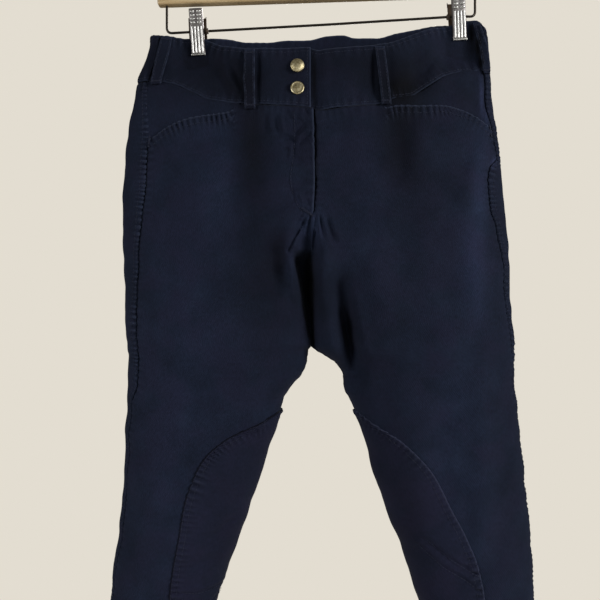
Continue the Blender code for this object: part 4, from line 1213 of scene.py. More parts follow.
def waistband(name, node, points, facing, ends, seed, cloth, threads):
    """A band from its grid: topstitched along both edges, and finished at its ends."""
    edges = [("top", "band_top", 1.0), ("foot", "band_foot", 1.0)]
    edges += [(edge, kind, 1.0) for edge, kind in zip(("first", "last"), ends)]
    points, wear_and_painted_light = finished(points, facing, edges, seed)
    hung(cloth_mesh(name, points, facing, BAND_WALL, wear_and_painted_light, cloth), node)
    threads.sew_edge(points, facing, "top", "band_top")
    threads.sew_edge(points, facing, "foot", "band_foot")
    if ends[1] == "fly":
        threads.sew_edge(points, facing, "last", "fly")


def waistband_front(side, cloth, threads):
    """Each front band ends at the fly: the right one laps over the left one's underlap."""
    columns = BAND_COLUMNS["front"]
    share = np.linspace(0, 1, columns) ** BAND_CROWDING

    def angle_of(height):
        seam = seam_angle(side, height)
        if side == "right":
            end = angle_at(side, BAND_END_X[side], height)
        else:
            outer = SECTION["left_outer"](height)
            centre = SECTION["left_inner"](height)
            end = math.pi / 2 + (centre - BAND_END_X[side]) / (outer - centre)
        return seam + (end - seam) * share

    points = band_grid(side, angle_of, band_top_front, band_seam_front, columns)
    facing = SIGN[side]
    if side == "left":
        under = eased((UNDERLAP_NEAR - points[..., 0]) / (UNDERLAP_NEAR - UNDERLAP_FAR))
        points = pushed(points, facing, -UNDERLAP_SINK * under)
    dent = np.zeros(points.shape[:2])
    for middle_x, middle_height, wide, tall, sink in BAND_DENTS:
        across = bell(points[..., 0] - middle_x, wide)
        dent += sink * across * bell(points[..., 2] - middle_height, tall)
    points = pushed(points, facing, -dent)
    ends = ("band_end", "fly" if side == "right" else "under_fly")
    name = f"{side}_front_waistband_cloth"
    waistband(
        name, f"waistband_front_{side}", points, facing, ends, BAND_SEED[side], cloth, threads
    )


def waistband_back(cloth, threads):
    """One band right round the back, between the side seams."""
    columns = BAND_COLUMNS["back"]
    share = np.linspace(0, 1, columns)
    halves = []
    for side in SIGN:

        def angle_of(height, side=side):
            seam = seam_angle(side, height)
            return seam + (-math.pi / 2 - seam) * share

        halves.append(band_grid(side, angle_of, band_top_back, band_seam_back, columns))
    right, left = halves[0], halves[1][:, ::-1]
    middle = (right[:, -1:] + left[:, :1]) / 2
    points = np.concatenate([right[:, :-1], middle, left[:, 1:]], axis=1)
    ends = ("band_end", "band_end")
    waistband(
        "back_waistband_cloth", "waistband_back", points, -1, ends, BAND_SEED["back"], cloth, threads
    )


def knee_patch(side, cloth, threads):
    """The patch over the inner leg, laid on both panels across the inseam."""
    edge = rising_curve(PATCH_EDGES, PATCH_EDGE_COLUMN[side])
    top, foot = PATCH_EDGES[0][0], PATCH_EDGES[-1][0]
    height = np.linspace(top, foot, round((top - foot) / PATCH_STEP) + 1)[:, None]
    front_edge = angle_at(side, edge(height), height)
    back_edge = 2 * math.pi - front_edge
    share = np.linspace(0, 1, PATCH_COLUMNS + 1)
    share = share - PATCH_CROWDING * np.sin(4 * math.pi * share)
    angle = front_edge + (back_edge - front_edge) * share
    height = np.broadcast_to(height, angle.shape)
    facing = SIGN[side]
    points = pushed(surface(side, angle, height), facing, PATCH_LIFT + PATCH_WALL)
    lift = np.zeros(points.shape[:2])
    for route, ridge in PATCH_DARTS[side]:
        gap, above, along = distance_to_route(points[..., 0], points[..., 2], route)
        groove = ridge_at(gap, DART_GROOVE)
        sides = DART_RIDGE_EVEN + DART_RIDGE_ABOVE * above
        rise = ridge * sides * ridge_at(gap, DART_RIDGE)
        pucker = ripple(along, DART_PUCKER_PITCH, 2.0) * ridge_at(gap, DART_PUCKER)
        lift += np.where(np.sin(angle) > 0, rise + pucker - groove, 0.0)
    points = pushed(points, facing, lift)
    kind = PATCH_EDGE_KIND[side]
    edges = [(edge_name, kind, 1.0) for edge_name in ("first", "last", "top", "foot")]
    points, wear_and_painted_light = finished(points, facing, edges, SLACK_SEED[side])
    piece = cloth_mesh(f"{side}_knee_patch_cloth", points, facing, PATCH_WALL, wear_and_painted_light, cloth)
    hung(piece, f"knee_patch_{side}")
    for edge_name in ("first", "last"):
        threads.sew_edge(points, facing, edge_name, "patch")
    for route, _ in PATCH_DARTS[side]:
        threads.sew(*drawn_line(side, route, PATCH_LIFT + PATCH_WALL + LINE_LIFT["dart"]))


def fly_shield(cloth):
    """The strip behind the closed fly, under both fronts."""
    x = np.linspace(FLY_SHIELD["right_x"], FLY_SHIELD["left_x"], FLY_SHIELD_COLUMNS)[None, :]
    height = np.linspace(FLY_SHIELD["top"], FLY_SHIELD["foot"], FLY_SHIELD_ROWS)[:, None]
    x, height = np.broadcast_arrays(x, height)
    points = surface("right", angle_at("right", x, height), height)
    points = pushed(points, 1, -FLY_SHIELD_SINK)
    points, wear_and_painted_light = finished(points, 1, [("last", "under_fly", 1.0)], SLACK_SEED["right"])
    piece = cloth_mesh("fly_shield_cloth", points, 1, FACING_WALL, wear_and_painted_light, cloth)
    hung(piece, "fly_shield")


def walked(side, angle, height, distance):
    """The angle after walking the distance round the section, in small steps."""
    for _ in range(WALK_STEPS):
        here = surface(side, angle, height)
        ahead = surface(side, angle + WALK_LOOK, height)
        pace = np.linalg.norm(ahead - here, axis=-1) / WALK_LOOK
        angle = angle + distance / WALK_STEPS / pace
    return angle


def belt_loop(which, cloth, threads):
    """A folded strip, tacked at its ends and standing clear of the band between them."""
    side, face, xs, heights, half_width, loop_lift = BELT_LOOPS[which]
    down = np.linspace(0, 1, LOOP_ROWS + 1)
    level = heights[0] + (heights[1] - heights[0]) * down
    middle = angle_at(side, np.interp(down, np.linspace(0, 1, len(xs)), xs), level, face)
    across = np.linspace(-1, 1, LOOP_COLUMNS + 1)
    angle = np.stack([walked(side, middle, level, s * half_width) for s in across], axis=1)
    height = np.broadcast_to(level[:, None], angle.shape)
    facing = SIGN[side]
    arch = np.sin(math.pi * np.clip(down, *LOOP_ARCH_SPAN)) ** LOOP_ARCH_POWER
    stand = LAYER_GAP + loop_lift * arch
    reach = half_width * (1 - np.abs(across))[None, :]
    turned_edge = ridge_at(reach, LOOP_FOLD) - ridge_at(reach, LOOP_EDGE_DIP)
    run = heights[0] - height
    to_foot = height - heights[1]
    slanted = run + LOOP_WRINKLE_SLANT * across[None, :]
    wrinkle = LOOP_WRINKLE * ripple(slanted, LOOP_WRINKLE_PITCH, len(which))
    pulled = ridge_at(run, LOOP_TACK_DIP) + ridge_at(to_foot, LOOP_TACK_DIP)
    lift = stand[:, None] + LOOP_WALL + turned_edge + wrinkle - pulled
    points = pushed(surface(side, angle, height), facing, lift)
    # Its sides painted paler, from rubbing and painted highlight
    even, uneven, pitch = LOOP_SIDES_RUB_AND_HIGHLIGHT
    along_side = run + LOOP_SIDES_APART * np.sign(across)[None, :]
    rubbed_and_painted_light = even + uneven * ripple(along_side, pitch, len(which) + 2)
    wear_and_painted_light = np.clip(rubbed_and_painted_light * bell(reach, 1.0) + ridge_at(run, LOOP_END_RUB), 0, 1)
    piece = cloth_mesh(f"{which}_belt_loop_cloth", points, facing, LOOP_WALL, wear_and_painted_light, cloth)
    hung(piece, f"belt_loop_{which}")
    for edge_name in ("first", "last"):
        threads.sew_edge(points, facing, edge_name, "loop")
    for row in LOOP_TACK_ROWS:
        threads.tack(points[row], outwards(points, facing)[row], "loop")


def fly_stitching(threads):
    """The curved row that holds the fly down, and the dense tacks at its foot and the pockets."""
    heights = np.linspace(FLY_STITCH[0][1], FLY_STITCH[-1][1], 80)
    x = curve_through([(height, x) for x, height in reversed(FLY_STITCH)])(heights)
    threads.sew(*drawn_line("right", list(zip(x, heights)), LINE_LIFT["fly"]))
    threads.tack(*drawn_line("right", FLY_TACK, LINE_LIFT["fly_tack"]), "fly")
    for side, tack in POCKET_TACKS.items():
        threads.tack(*drawn_line(side, tack, LINE_LIFT["pocket_tack"]), "pocket")


# ---------------------------------------------------------------- hard parts, modelled in edit mode


def primitive(kind, **settings):
    """A new primitive, the one piece that is selected and active."""
    bpy.ops.object.select_all(action="DESELECT")
    getattr(bpy.ops.mesh, f"primitive_{kind}_add")(**settings)
    return bpy.context.object


@contextmanager
def editing(piece, action="SELECT"):
    """Opens the piece for editing, with all of it or none of it selected, and closes it again."""
    only(piece)
    bpy.ops.object.mode_set(mode="EDIT")
    bpy.ops.mesh.select_all(action=action)
    yield
    bpy.ops.object.mode_set(mode="OBJECT")


def choose(piece, wanted):
    """Selects the vertices that wanted(vertex) says, by their place."""
    bpy.context.tool_settings.mesh_select_mode = (True, False, False)
    shape = bmesh.from_edit_mesh(piece.data)
    for vertex in shape.verts:
        vertex.select_set(wanted(vertex))
    bmesh.update_edit_mesh(piece.data)


def placed(piece, matrix):
    """Moves a piece that was modelled at the origin, and puts its place into its mesh."""
    piece.matrix_world = matrix @ piece.matrix_world
    only(piece)
    bpy.ops.object.transform_apply(location=True, rotation=True, scale=True)
    return piece


def smoothed(piece, degrees=40):
    """Smooths the faces that meet at less than this angle."""
    only(piece)
    bpy.ops.object.shade_smooth_by_angle(angle=math.radians(degrees))
    return piece


def joined(pieces):
    """Several pieces as one."""
    only(pieces[0])
    for piece in pieces:
        piece.select_set(True)
    bpy.ops.object.join()
    return pieces[0]


def copy_of(pattern, matrix):
    """A copy of the pattern in its place, with a mesh of its own."""
    return placed(new_object(pattern.name, pattern.data.copy()), matrix)


def spread(pattern, places):
    """The pattern copied to each place, in millimetres. The pattern itself goes."""
    copies = [copy_of(pattern, Matrix.Translation(Vector(place) * MM)) for place in places]
    bpy.data.objects.remove(pattern)
    return copies


def block(size, place, bevel, segments, material):
    """A cuboid with softened edges: sizes, place and bevel in millimetres."""
    middle = Vector(place) * MM
    made = primitive("cube", size=1.0, location=middle)
    with editing(made):
        bpy.ops.transform.resize(value=Vector(size) * MM, center_override=middle)
        bpy.ops.mesh.bevel(offset=bevel * MM, segments=segments, profile=0.5, affect="EDGES")
    made.data.materials.append(material)
    return made


def boss(size, segments, material):
    """A rounded boss: its half widths in millimetres."""
    made = primitive("uv_sphere", segments=segments, ring_count=8, radius=1.0)
    with editing(made):
        bpy.ops.transform.resize(value=Vector(size) * MM, center_override=(0, 0, 0))
    made.data.materials.append(material)
    return made


def turned(profile, sides, material):
    """A turned piece: rings of (radius, height) in millimetres, stacked along Z and closed."""
    radius, height = profile[0]
    foot = (0.0, 0.0, height * MM)
    made = primitive(
        "circle", vertices=sides, radius=radius * MM, fill_type="NGON", location=foot
    )
    with editing(made):
        for next_radius, next_height in profile[1:]:
            rise = (0.0, 0.0, (next_height - height) * MM)
            bpy.ops.mesh.extrude_region_move(TRANSFORM_OT_translate={"value": rise})
            scale = (next_radius / radius, next_radius / radius, 1.0)
            middle = (0.0, 0.0, next_height * MM)
            bpy.ops.transform.resize(value=scale, center_override=middle)
            radius, height = next_radius, next_height
        bpy.ops.mesh.select_all(action="SELECT")
        bpy.ops.mesh.normals_make_consistent(inside=False)
    made.data.materials.append(material)
    return made


def rounded_route(corners, radius, steps=8):
    """The corners of a bent wire, each replaced by a bend of the radius."""
    route = [corners[0]]
    for before, corner, after in zip(corners, corners[1:], corners[2:]):
        corner = Vector(corner)
        start = corner + (Vector(before) - corner).normalized() * radius
        end = corner + (Vector(after) - corner).normalized() * radius
        for step in range(steps + 1):
            share = step / steps
            route.append(tuple(start.lerp(corner, share).lerp(corner.lerp(end, share), share)))
    route.append(corners[-1])
    return route


def wire(points, width, material, resolution=3):
    """A bent wire of round section along the points, in millimetres, as a mesh."""
    bpy.ops.object.select_all(action="DESELECT")
    curve = bpy.data.curves.new("wire", "CURVE")
    curve.dimensions = "3D"
    curve.bevel_depth = width / 2 * MM
    curve.bevel_resolution = resolution
    curve.use_fill_caps = True
    line = curve.splines.new("POLY")
    line.points.add(len(points) - 1)
    for spot, point in zip(line.points, points):
        spot.co = (*(value * MM for value in point), 1.0)
    only(new_object("wire", curve))
    bpy.ops.object.convert(target="MESH")
    made = bpy.context.object
    with editing(made):
        bpy.ops.mesh.remove_doubles(threshold=0.00001)
        bpy.ops.mesh.normals_make_consistent(inside=False)
    made.data.materials.clear()
    made.data.materials.append(material)
    return smoothed(made, 50)


def hanger(wood, chrome):
    """The wood bar, its hook and the wire the clips sit on, tipped about the hook."""
    tipped = Matrix.Rotation(-TILT, 4, "Y")
    bar = block((BAR_LENGTH, BAR_DEPTH, BAR_HEIGHT), (0, 0, 0), BAR_BEVEL, 4, wood)
    end = (BAR_LENGTH / 2 - BAR_TAPERS_OVER) * MM
    with editing(bar, "DESELECT"):
        choose(bar, lambda vertex: abs(vertex.co.x) > end)
        bpy.ops.transform.resize(value=BAR_TAPER, center_override=(0, 0, 0))
    middle = Vector((BAR_CENTRE_X, 0.0, BAR_TOP - BAR_HEIGHT / 2)) * MM
    placed(smoothed(bar, 35), tipped @ Matrix.Translation(middle))
    mounted(bar, "wood_bar", "hanger_wood_bar")

    centre = HOOK_WIRE / 2 - HOOK_RADIUS
    route = list(HOOK_SHANK)
    for degrees in HOOK_DEGREES:
        turn = math.radians(degrees)
        x, height = HOOK_RADIUS * math.cos(turn), centre + HOOK_RADIUS * math.sin(turn)
        route.append((x, 0.0, height))
    hook = placed(wire(route, HOOK_WIRE, chrome), tipped)
    mounted(hook, "hook", "hanger_hook")

    rail = wire(rounded_route(RAIL_CORNERS, RAIL_BEND), RAIL_WIRE, chrome)
    mounted(rail, "rail_wire", "hanger_wire_bar")


def jaw_plate(width, tail, metal):
    """A pressed jaw: a bent sheet with folded sides, from the tail down to the lip."""
    plate = primitive("plane", size=1.0)
    with editing(plate):
        bpy.ops.mesh.subdivide(number_cuts=len(JAW_FOLDS) - 2)
    spots = sorted(plate.data.vertices, key=lambda vertex: (-vertex.co.y, vertex.co.x))
    for order, vertex in enumerate(spots):
        row, column = divmod(order, len(JAW_FOLDS))
        depth, height = JAW_BENDS[row]
        across, folded = JAW_FOLDS[column]
        back = min(folded, max(0.0, -depth - JAW_FOLDS_END))
        height *= tail if height > 0 else 1.0
        vertex.co = Vector((across * width, depth + back, height)) * MM
    with editing(plate):
        bpy.ops.mesh.normals_make_consistent(inside=False)
    if sum(face.normal.y for face in plate.data.polygons) > 0:
        with editing(plate):
            bpy.ops.mesh.flip_normals()
    sheet_metal = plate.modifiers.new("Sheet", "SOLIDIFY")
    sheet_metal.thickness = JAW_SHEET * MM
    sheet_metal.offset = -1.0
    softened = plate.modifiers.new("Edge", "BEVEL")
    softened.width = JAW_BEVEL * MM
    softened.segments = 2
    softened.limit_method = "ANGLE"
    apply_modifiers(plate)
    plate.data.materials.append(metal)
    return plate


def front_jaw(chrome, chrome_painted_highlight):
    """The plate, the pressed bumps of its tail, the ribs below them and the lip that grips. The
    bumps, ribs and lip take a paler copy of the chrome, a painted highlight.
    """
    rows = [(across, jaw_face(height), height) for height in BUMP_ROWS for across in BUMP_COLUMNS]
    bumps = spread(boss(BUMP_SIZE, BUMP_SIDES, chrome_painted_highlight), rows)
    heights = np.linspace(*RIB_SPAN, RIB_POINTS)
    line = [(0.0, jaw_face(height) - RIB_SINK, height) for height in heights]
    caps = spread(boss(RIB_CAP, RIB_CAP_SIDES, chrome_painted_highlight), [line[0], line[-1]])
    rib = joined([wire(line, RIB_WIDTH, chrome_painted_highlight, resolution=4), *caps])
    ribs = spread(rib, [(across, 0.0, 0.0) for across in RIB_COLUMNS])
    plate = jaw_plate(FRONT_JAW_WIDTH, 1.0, chrome)
    return smoothed(joined([plate, *bumps, *ribs, block(*FRONT_LIP, chrome_painted_highlight)]))


def back_jaw(dull_metal):
    """The wider plate behind and its lip, turned to face the other way."""
    plate = jaw_plate(BACK_JAW_WIDTH, BACK_JAW_TAIL, dull_metal)
    jaw = smoothed(joined([plate, block(*BACK_LIP, dull_metal)]))
    return placed(jaw, Matrix.Rotation(math.pi, 4, "Z"))


def coil_spring(chrome):
    """The spring that is wound round the wire, between the jaws."""
    steps = SPRING_TURNS * SPRING_STEPS
    coil = []
    for step in range(steps + 1):
        turn = 2 * math.pi * step / SPRING_STEPS
        x = (step / steps - 0.5) * SPRING_LENGTH
        coil.append((x, SPRING_RADIUS * math.cos(turn), SPRING_RADIUS * math.sin(turn)))
    return wire(coil, SPRING_WIRE, chrome, resolution=2)


def clips(chrome, chrome_painted_highlight, dull_metal, sleeve_vinyl):
    """Two clips: pressed jaws that pivot on the wire, a coil spring between them, and a sleeve."""
    sleeve = turned(SLEEVE_RINGS, SLEEVE_SIDES, sleeve_vinyl)
    placed(sleeve, Matrix.Rotation(math.pi / 2, 4, "Y"))
    front = front_jaw(chrome, chrome_painted_highlight)
    back = back_jaw(dull_metal)
    spring = coil_spring(chrome)
    for side in SIGN:
        place = Vector((CLIP_X[side] + CLIP_SHIFT[side], 0.0, CLIP_WIRE_HEIGHT[side])) * MM
        carried = Matrix.Translation(place) @ Matrix.Rotation(-CLIP_TILT, 4, "Y")
        aside = Matrix.Translation(Vector((SIGN[side] * SLEEVE_FROM_MIDDLE, 0, 0)) * MM)
        for jaw, which in ((front, "front"), (back, "back")):
            node = f"clip_{which}_jaw_{side}"
            mounted(copy_of(jaw, carried), f"{node}_pressed", node)
        mounted(copy_of(spring, carried), f"clip_spring_{side}")
        node = f"clip_sleeve_{side}"
        mounted(copy_of(smoothed(sleeve), carried @ aside), f"{node}_moulded", node)
    for pattern in (sleeve, front, back, spring):
        bpy.data.objects.remove(pattern)


def snap_cap(which, brass):
    """A pressed cap with a rolled rim round a shallow dome: the lower one is the flatter."""
    height = SNAP_HEIGHTS[which]
    ends = ((SNAP_X, height + 0.5), (SNAP_X, height - 0.5))
    seat, facing = drawn_line("right", ends, LAYER_GAP)
    middle = len(seat) // 2
    turn = Vector(facing[middle]).to_track_quat("Z", "Y").to_matrix().to_4x4()
    cap = turned(SNAP_RINGS[which], SNAP_SIDES, brass)
    placed(cap, Matrix.Translation(Vector(seat[middle]) * MM) @ turn)
    mounted(smoothed(cap, 60), f"snap_{which}_pressed", f"snap_cap_{which}")


# ---------------------------------------------------------------- materials


def linear(hex_colour, share=1.0):
    """The linear colour of an sRGB hex value, or a share of it."""
    channels = [int(hex_colour[k : k + 2], 16) / 255 for k in (0, 2, 4)]
    curved = [c / 12.92 if c <= 0.04045 else ((c + 0.055) / 1.055) ** 2.4 for c in channels]
    return [channel * share for channel in curved] + [1.0]


def per_metre(size):
    """How many times a pattern of this size, in millimetres, goes into a metre."""
    return 1 / (size * MM)


def add(tree, kind, inputs=None, output=0, stops=(), **settings):
    """Adds a shader node and gives one of its outputs. Inputs are values or other nodes' outputs,
    stops are a ramp's places and colours, and settings are the node's own."""
    made = tree.nodes.new("ShaderNode" + kind)
    for name, value in settings.items():
        setattr(made, name, value)
    for socket, value in (inputs or {}).items():
        if isinstance(value, bpy.types.NodeSocket):
            tree.links.new(value, made.inputs[socket])
        else:
            made.inputs[socket].default_value = value
    for k, (place, colour) in enumerate(stops):
        points = made.color_ramp.elements
        point = points[k] if k < len(points) else points.new(place)
        point.position = place
        point.color = colour
    return made.outputs[output] if len(made.outputs) else None


def new_material(name):
    """A new material without nodes, its node tree, and the place that its patterns follow."""
    material = bpy.data.materials.new(name)
    material.use_nodes = True
    material.node_tree.nodes.clear()
    return material, material.node_tree, add(material.node_tree, "TexCoord", output="Object")


def twill_cloth(name, dark, middle, faded, worn_and_painted_light, plum, bump):
    """Woven stretch twill, garment-dyed and washed: matt, with fine steep diagonals in the weave,
    faintly faded where it rubs, paler along turned edges from rubbing and painted highlight, and
    darker in seams, hollows and folds from painted shade."""
    material, tree, solid = new_material(name)
    laid = add(tree, "UVMap", uv_map="cloth")
    turned_weave = add(tree, "Mapping", {"Vector": laid, "Rotation": (0.0, 0.0, TWILL_LEAN)})
    # A wave texture of scale 1 has 20 / (2 pi) bands in a metre
    waves = per_metre(TWILL_PITCH) / 20 * 2 * math.pi
    diagonals = add(
        tree, "TexWave",
        {"Vector": turned_weave, "Scale": waves, "Distortion": 1.6, "Detail": 2.0,
         "Detail Scale": 3.0, "Detail Roughness": 0.6},
        "Fac", wave_type="BANDS", bands_direction="X",
    )
    drawn_down = add(tree, "Mapping", {"Vector": laid, "Scale": (1.0, 0.45, 1.0)})
    slubs = {"Vector": drawn_down, "Scale": per_metre(YARN_SLUBS), "Detail": 3.0, "Roughness": 0.7}
    yarns = add(tree, "TexNoise", slubs)
    wash = {"Vector": solid, "Scale": per_metre(WASH_CLOUDS), "Detail": 7.0, "Roughness": 0.66}
    clouds = add(tree, "TexNoise", wash)
    dye = {"Vector": solid, "Scale": per_metre(DYE_TINGE), "Detail": 4.0, "Roughness": 0.55}
    tinge = add(tree, "TexNoise", dye)
    lint = add(tree, "TexVoronoi", {"Vector": solid, "Scale": per_metre(LINT_SPACING)})

    # The colour: washed clouds of navy, redder in places
    stops = ((0.25, linear(dark)), (0.52, linear(middle)), (0.80, linear(faded)))
    cloudy = add(tree, "ValToRGB", {"Fac": clouds}, stops=stops)
    reddening = {"From Min": 0.42, "From Max": 0.62, "To Max": 0.42}
    redder = add(tree, "MapRange", {"Value": tinge, **reddening})
    base = add(tree, "MixRGB", {"Fac": redder, "Color1": cloudy, "Color2": linear(plum)})

    # How light it is: the weave's lines and yarns, the faded places with painted shade and
    # highlights among them, and the painted shade of the seams
    rubbed_and_painted_light = add(tree, "Attribute", output="Fac", attribute_name="wear_and_painted_light")
    paler = add(tree, "Attribute", output="Fac", attribute_name="fade_and_painted_light")
    lines = add(tree, "MapRange", {"Value": diagonals, "To Min": 0.92, "To Max": 1.08})
    slub_shades = {"From Min": 0.3, "From Max": 0.7, "To Min": 0.76, "To Max": 1.26}
    grainy = add(tree, "MapRange", {"Value": yarns, **slub_shades})
    darkening = {"From Min": -0.8, "From Max": 0.0, "To Min": 0.25}
    painted_seam_shade = add(tree, "MapRange", {"Value": rubbed_and_painted_light, **darkening})
    shade = add(tree, "Math", {0: paler, 1: 1.0}, operation="ADD")
    for share in (painted_seam_shade, lines, grainy):
        shade = add(tree, "Math", {0: shade, 1: share}, operation="MULTIPLY")
    woven = add(tree, "VectorMath", {0: base, "Scale": shade}, operation="SCALE")

    # What lies on it: pale edges from rubbing and painted highlight, and specks of lint
    worn_and_highlight_share = add(tree, "MapRange", {"Value": rubbed_and_painted_light, "To Max": 0.62})
    worn_and_highlit = add(tree, "MixRGB", {"Fac": worn_and_highlight_share, "Color1": woven, "Color2": linear(worn_and_painted_light)})
    stops = ((0.035, linear("ffffff")), (0.075, linear("000000")))
    specks = add(tree, "ValToRGB", {"Fac": lint}, stops=stops)
    speck_share = add(tree, "Math", {0: specks, 1: 0.16}, operation="MULTIPLY")
    dusted = add(tree, "MixRGB", {"Fac": speck_share, "Color1": worn_and_highlit, "Color2": linear("596074")})

    relief = add(tree, "Math", {0: diagonals, 1: 0.55, 2: yarns}, operation="MULTIPLY_ADD")
    raised = add(tree, "Bump", {"Height": relief, "Strength": bump, "Distance": 0.0004})
    shader = add(tree, "BsdfPrincipled", {
        "Base Color": dusted, "Roughness": 0.86, "Specular IOR Level": 0.10, "Normal": raised,
        "Sheen Weight": 0.035, "Sheen Roughness": 0.45, "Sheen Tint": linear("a8b2cf"),
    })
    add(tree, "OutputMaterial", {"Surface": shader})
    return material


def mottled(name, size, detail, stops, values, grain=0.5, rough=None, relief=None):
    """A finish that one noise of this size varies: its colour and, where they are given, its
    roughness and its relief (strength and height)."""
    material, tree, solid = new_material(name)
    noise = {"Vector": solid, "Scale": per_metre(size), "Detail": detail, "Roughness": grain}
    mottle = add(tree, "TexNoise", noise)
    inputs = {"Base Color": add(tree, "ValToRGB", {"Fac": mottle}, stops=stops), **values}
    if rough:
        spread_over = {"Value": mottle, "To Min": rough[0], "To Max": rough[1]}
        inputs["Roughness"] = add(tree, "MapRange", spread_over)
    if relief:
        depth = {"Height": mottle, "Strength": relief[0], "Distance": relief[1] * MM}
        inputs["Normal"] = add(tree, "Bump", depth)
    add(tree, "OutputMaterial", {"Surface": add(tree, "BsdfPrincipled", inputs)})
    return material


def sewing_thread():
    """Spun polyester thread, dyed to match: a little smoother and bluer than the cloth."""
    stops = ((0.35, linear("0c1020")), (0.7, linear("2a3148")))
    looks = {"Roughness": 0.6, "Specular IOR Level": 0.25}
    return mottled("navy_polyester_thread", 0.625, 1.0, stops, looks)


def antique_brass():
    """Brass snaps, plated and tumbled: warm metal, mottled at random from browned to bright."""
    stops = ((0.30, linear("75684a")), (0.48, linear("bdb28c")), (0.72, linear("ece5c6")))
    return mottled(
        "antique_brass_plate", 2.381, 6.0, stops, {"Metallic": 1.0}, grain=0.65,
        rough=(0.56, 0.36), relief=(0.25, 0.3),
    )


def chromed_steel(name, tint, roughness, pitting=0.18):
    """Pressed steel, chrome plated over a stamped surface: grey metal with small soft pits."""
    stops = ((0.3, linear(tint, 0.62)), (0.7, linear(tint)))
    return mottled(
        name, 3.3333, 4.0, stops, {"Metallic": 1.0}, grain=0.6,
        rough=(roughness + 0.1, roughness), relief=(pitting, 0.4),
    )


def vinyl_sleeve():
    """Brown soft PVC, moulded: slightly shiny, scuffed."""
    stops = ((0.35, linear("2c231c")), (0.7, linear("5a4a3c")))
    return mottled("brown_vinyl_sleeve", 2.0, 4.0, stops, {}, rough=(0.4, 0.6))


def painted_floor():
    """A matt off-white studio floor, rolled on, with a faint mottle."""
    stops = ((0.3, linear("dcd7cc")), (0.7, linear("e6e1d7")))
    return mottled("matt_floor_paint", 166.667, 4.0, stops, {"Roughness": 0.9})


def lacquered_beech():
    """Steamed beech, sanded and clear lacquered: long straight grain with short darker flecks."""
    material, tree, solid = new_material("lacquered_beech_wood")
    # Grain streaks 70 mm long, 5 mm deep and 4 mm high, and flecks of 6 by 1 mm
    drawn_out = add(tree, "Mapping", {"Vector": solid, "Scale": (9.0, 120.0, 150.0)})
    streaks = {"Vector": drawn_out, "Scale": 1.6, "Detail": 6.0, "Roughness": 0.6, "Distortion": 0.4}
    grain = add(tree, "TexNoise", streaks)
    flecked = add(tree, "Mapping", {"Vector": solid, "Scale": (160.0, 900.0, 900.0)})
    flecks = add(tree, "TexVoronoi", {"Vector": flecked, "Scale": 1.0})
    stops = ((0.28, linear("8d754f")), (0.50, linear("b39c75")), (0.75, linear("cdbb97")))
    tones = add(tree, "ValToRGB", {"Fac": grain}, stops=stops)
    stops = ((0.10, linear("ffffff", 0.5)), (0.26, linear("000000")))
    fleck_share = add(tree, "ValToRGB", {"Fac": flecks}, stops=stops)
    wood = add(tree, "MixRGB", {"Fac": fleck_share, "Color1": tones, "Color2": linear("7b6240")})
    pores = add(tree, "Bump", {"Height": grain, "Strength": 0.08, "Distance": 0.0005})
    shader = add(tree, "BsdfPrincipled", {
        "Base Color": wood, "Roughness": 0.42, "Coat Weight": 0.25, "Coat Roughness": 0.25,
        "Normal": pores,
    })
    add(tree, "OutputMaterial", {"Surface": shader})
    return material


# ---------------------------------------------------------------- camera, light and floor


def camera():
    """The front view, from as far away as its perspective asks."""
    lens = bpy.data.cameras.new("camera")
    lens.sensor_width = SENSOR_WIDTH
    lens.lens = SENSOR_WIDTH * CAMERA_DISTANCE / FRAME_WIDTH
    lens.clip_start = 0.01
    lens.clip_end = 100.0
    made = new_object("camera", lens)
    made.location = Vector((CAMERA_X, -CAMERA_DISTANCE, CAMERA_HEIGHT)) * MM
    made.rotation_euler = (math.pi / 2, 0.0, 0.0)
    bpy.context.scene.camera = made


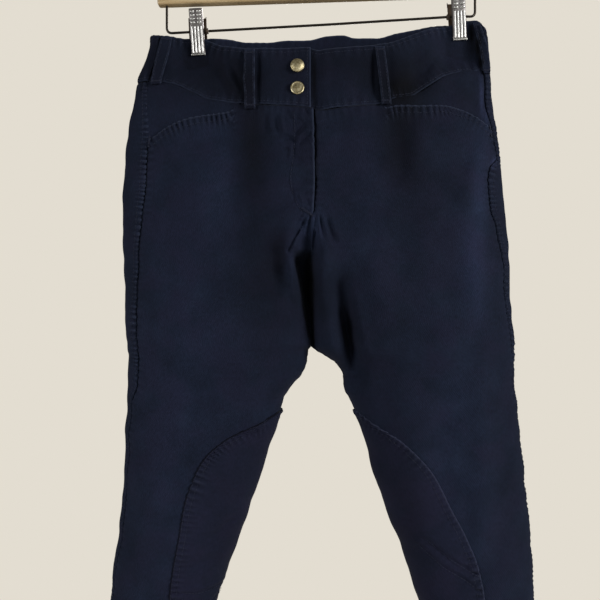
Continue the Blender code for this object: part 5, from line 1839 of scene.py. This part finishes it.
def lights():
    """The soft lamps, unseen by the camera, and a pale room that lights less than it shows."""
    for name, (place, target, size, power) in LAMPS.items():
        lamp = bpy.data.lights.new(name, "AREA")
        lamp.shape = "RECTANGLE"
        lamp.size, lamp.size_y = size
        lamp.energy = power
        lamp.color = LAMP_COLOUR
        made = new_object(name, lamp)
        made.location = place
        made.rotation_euler = (Vector(target) - Vector(place)).to_track_quat("-Z", "Y").to_euler()
        made.visible_camera = False
    world = bpy.data.worlds.new("pale_studio")
    bpy.context.scene.world = world
    world.use_nodes = True
    tree = world.node_tree
    backdrop = tree.nodes["Background"]
    backdrop.inputs["Color"].default_value = linear(WALL_COLOUR)
    seen = add(tree, "LightPath", output="Is Camera Ray")
    strength = add(tree, "MapRange", {"Value": seen, "To Min": ROOM_LIGHT, "To Max": 1.0})
    tree.links.new(strength, backdrop.inputs["Strength"])
    bpy.context.scene.view_settings.view_transform = "Standard"


def floor():
    """A round floor below the hems, which only the studio has."""
    place = (0.0, 0.0, FLOOR_HEIGHT)
    made = primitive(
        "circle", vertices=FLOOR_SIDES, radius=FLOOR_RADIUS, fill_type="NGON", location=place
    )
    made.name = "studio_floor"
    bpy.ops.object.transform_apply(location=True, rotation=True, scale=True)
    made.data.materials.append(painted_floor())


# ---------------------------------------------------------------- the breeches on their hanger


def make_breeches():
    """The cloth pieces and the thread that sews them."""
    # In each cloth, the fifth colour is the pale that rubbing and painted highlights give the edges
    cloth = twill_cloth(
        "navy_stretch_twill", "0e1423", "131a2b", "1a2235", "3c465e", "1a1b2f", 0.35
    )
    patch = twill_cloth(
        "navy_brushed_patch", "101524", "141829", "181c30", "3a4056", "1b1a2e", 0.22
    )
    threads = Threads()
    for side in SIGN:
        leg_panel(side, "front", cloth, threads)
        leg_panel(side, "back", cloth, threads)
        pocket_facing(side, cloth)
        waistband_front(side, cloth, threads)
        knee_patch(side, patch, threads)
    waistband_back(cloth, threads)
    fly_shield(cloth)
    for which in BELT_LOOPS:
        belt_loop(which, cloth, threads)
    fly_stitching(threads)
    threads.make("topstitching", sewing_thread())


def make_hardware():
    """The snaps, the hanger and its clips."""
    chrome = chromed_steel("chromed_steel_plate", "a8a5a6", 0.38)
    # A paler copy of the same chrome for the bumps, ribs and lips: painted highlight
    chrome_painted_highlight = chromed_steel("chromed_steel_painted_highlight", "e2e4e4", 0.34, 0.04)
    dull_metal = chromed_steel("worn_chromed_steel", "6a5c50", 0.50)
    dark_wire = chromed_steel("chromed_steel_wire", "423d38", 0.34, 0.05)
    brass = antique_brass()
    for which in SNAP_HEIGHTS:
        snap_cap(which, brass)
    hanger(lacquered_beech(), dark_wire)
    clips(chrome, chrome_painted_highlight, dull_metal, vinyl_sleeve())


camera()
lights()
floor()
make_hardware()
make_breeches()
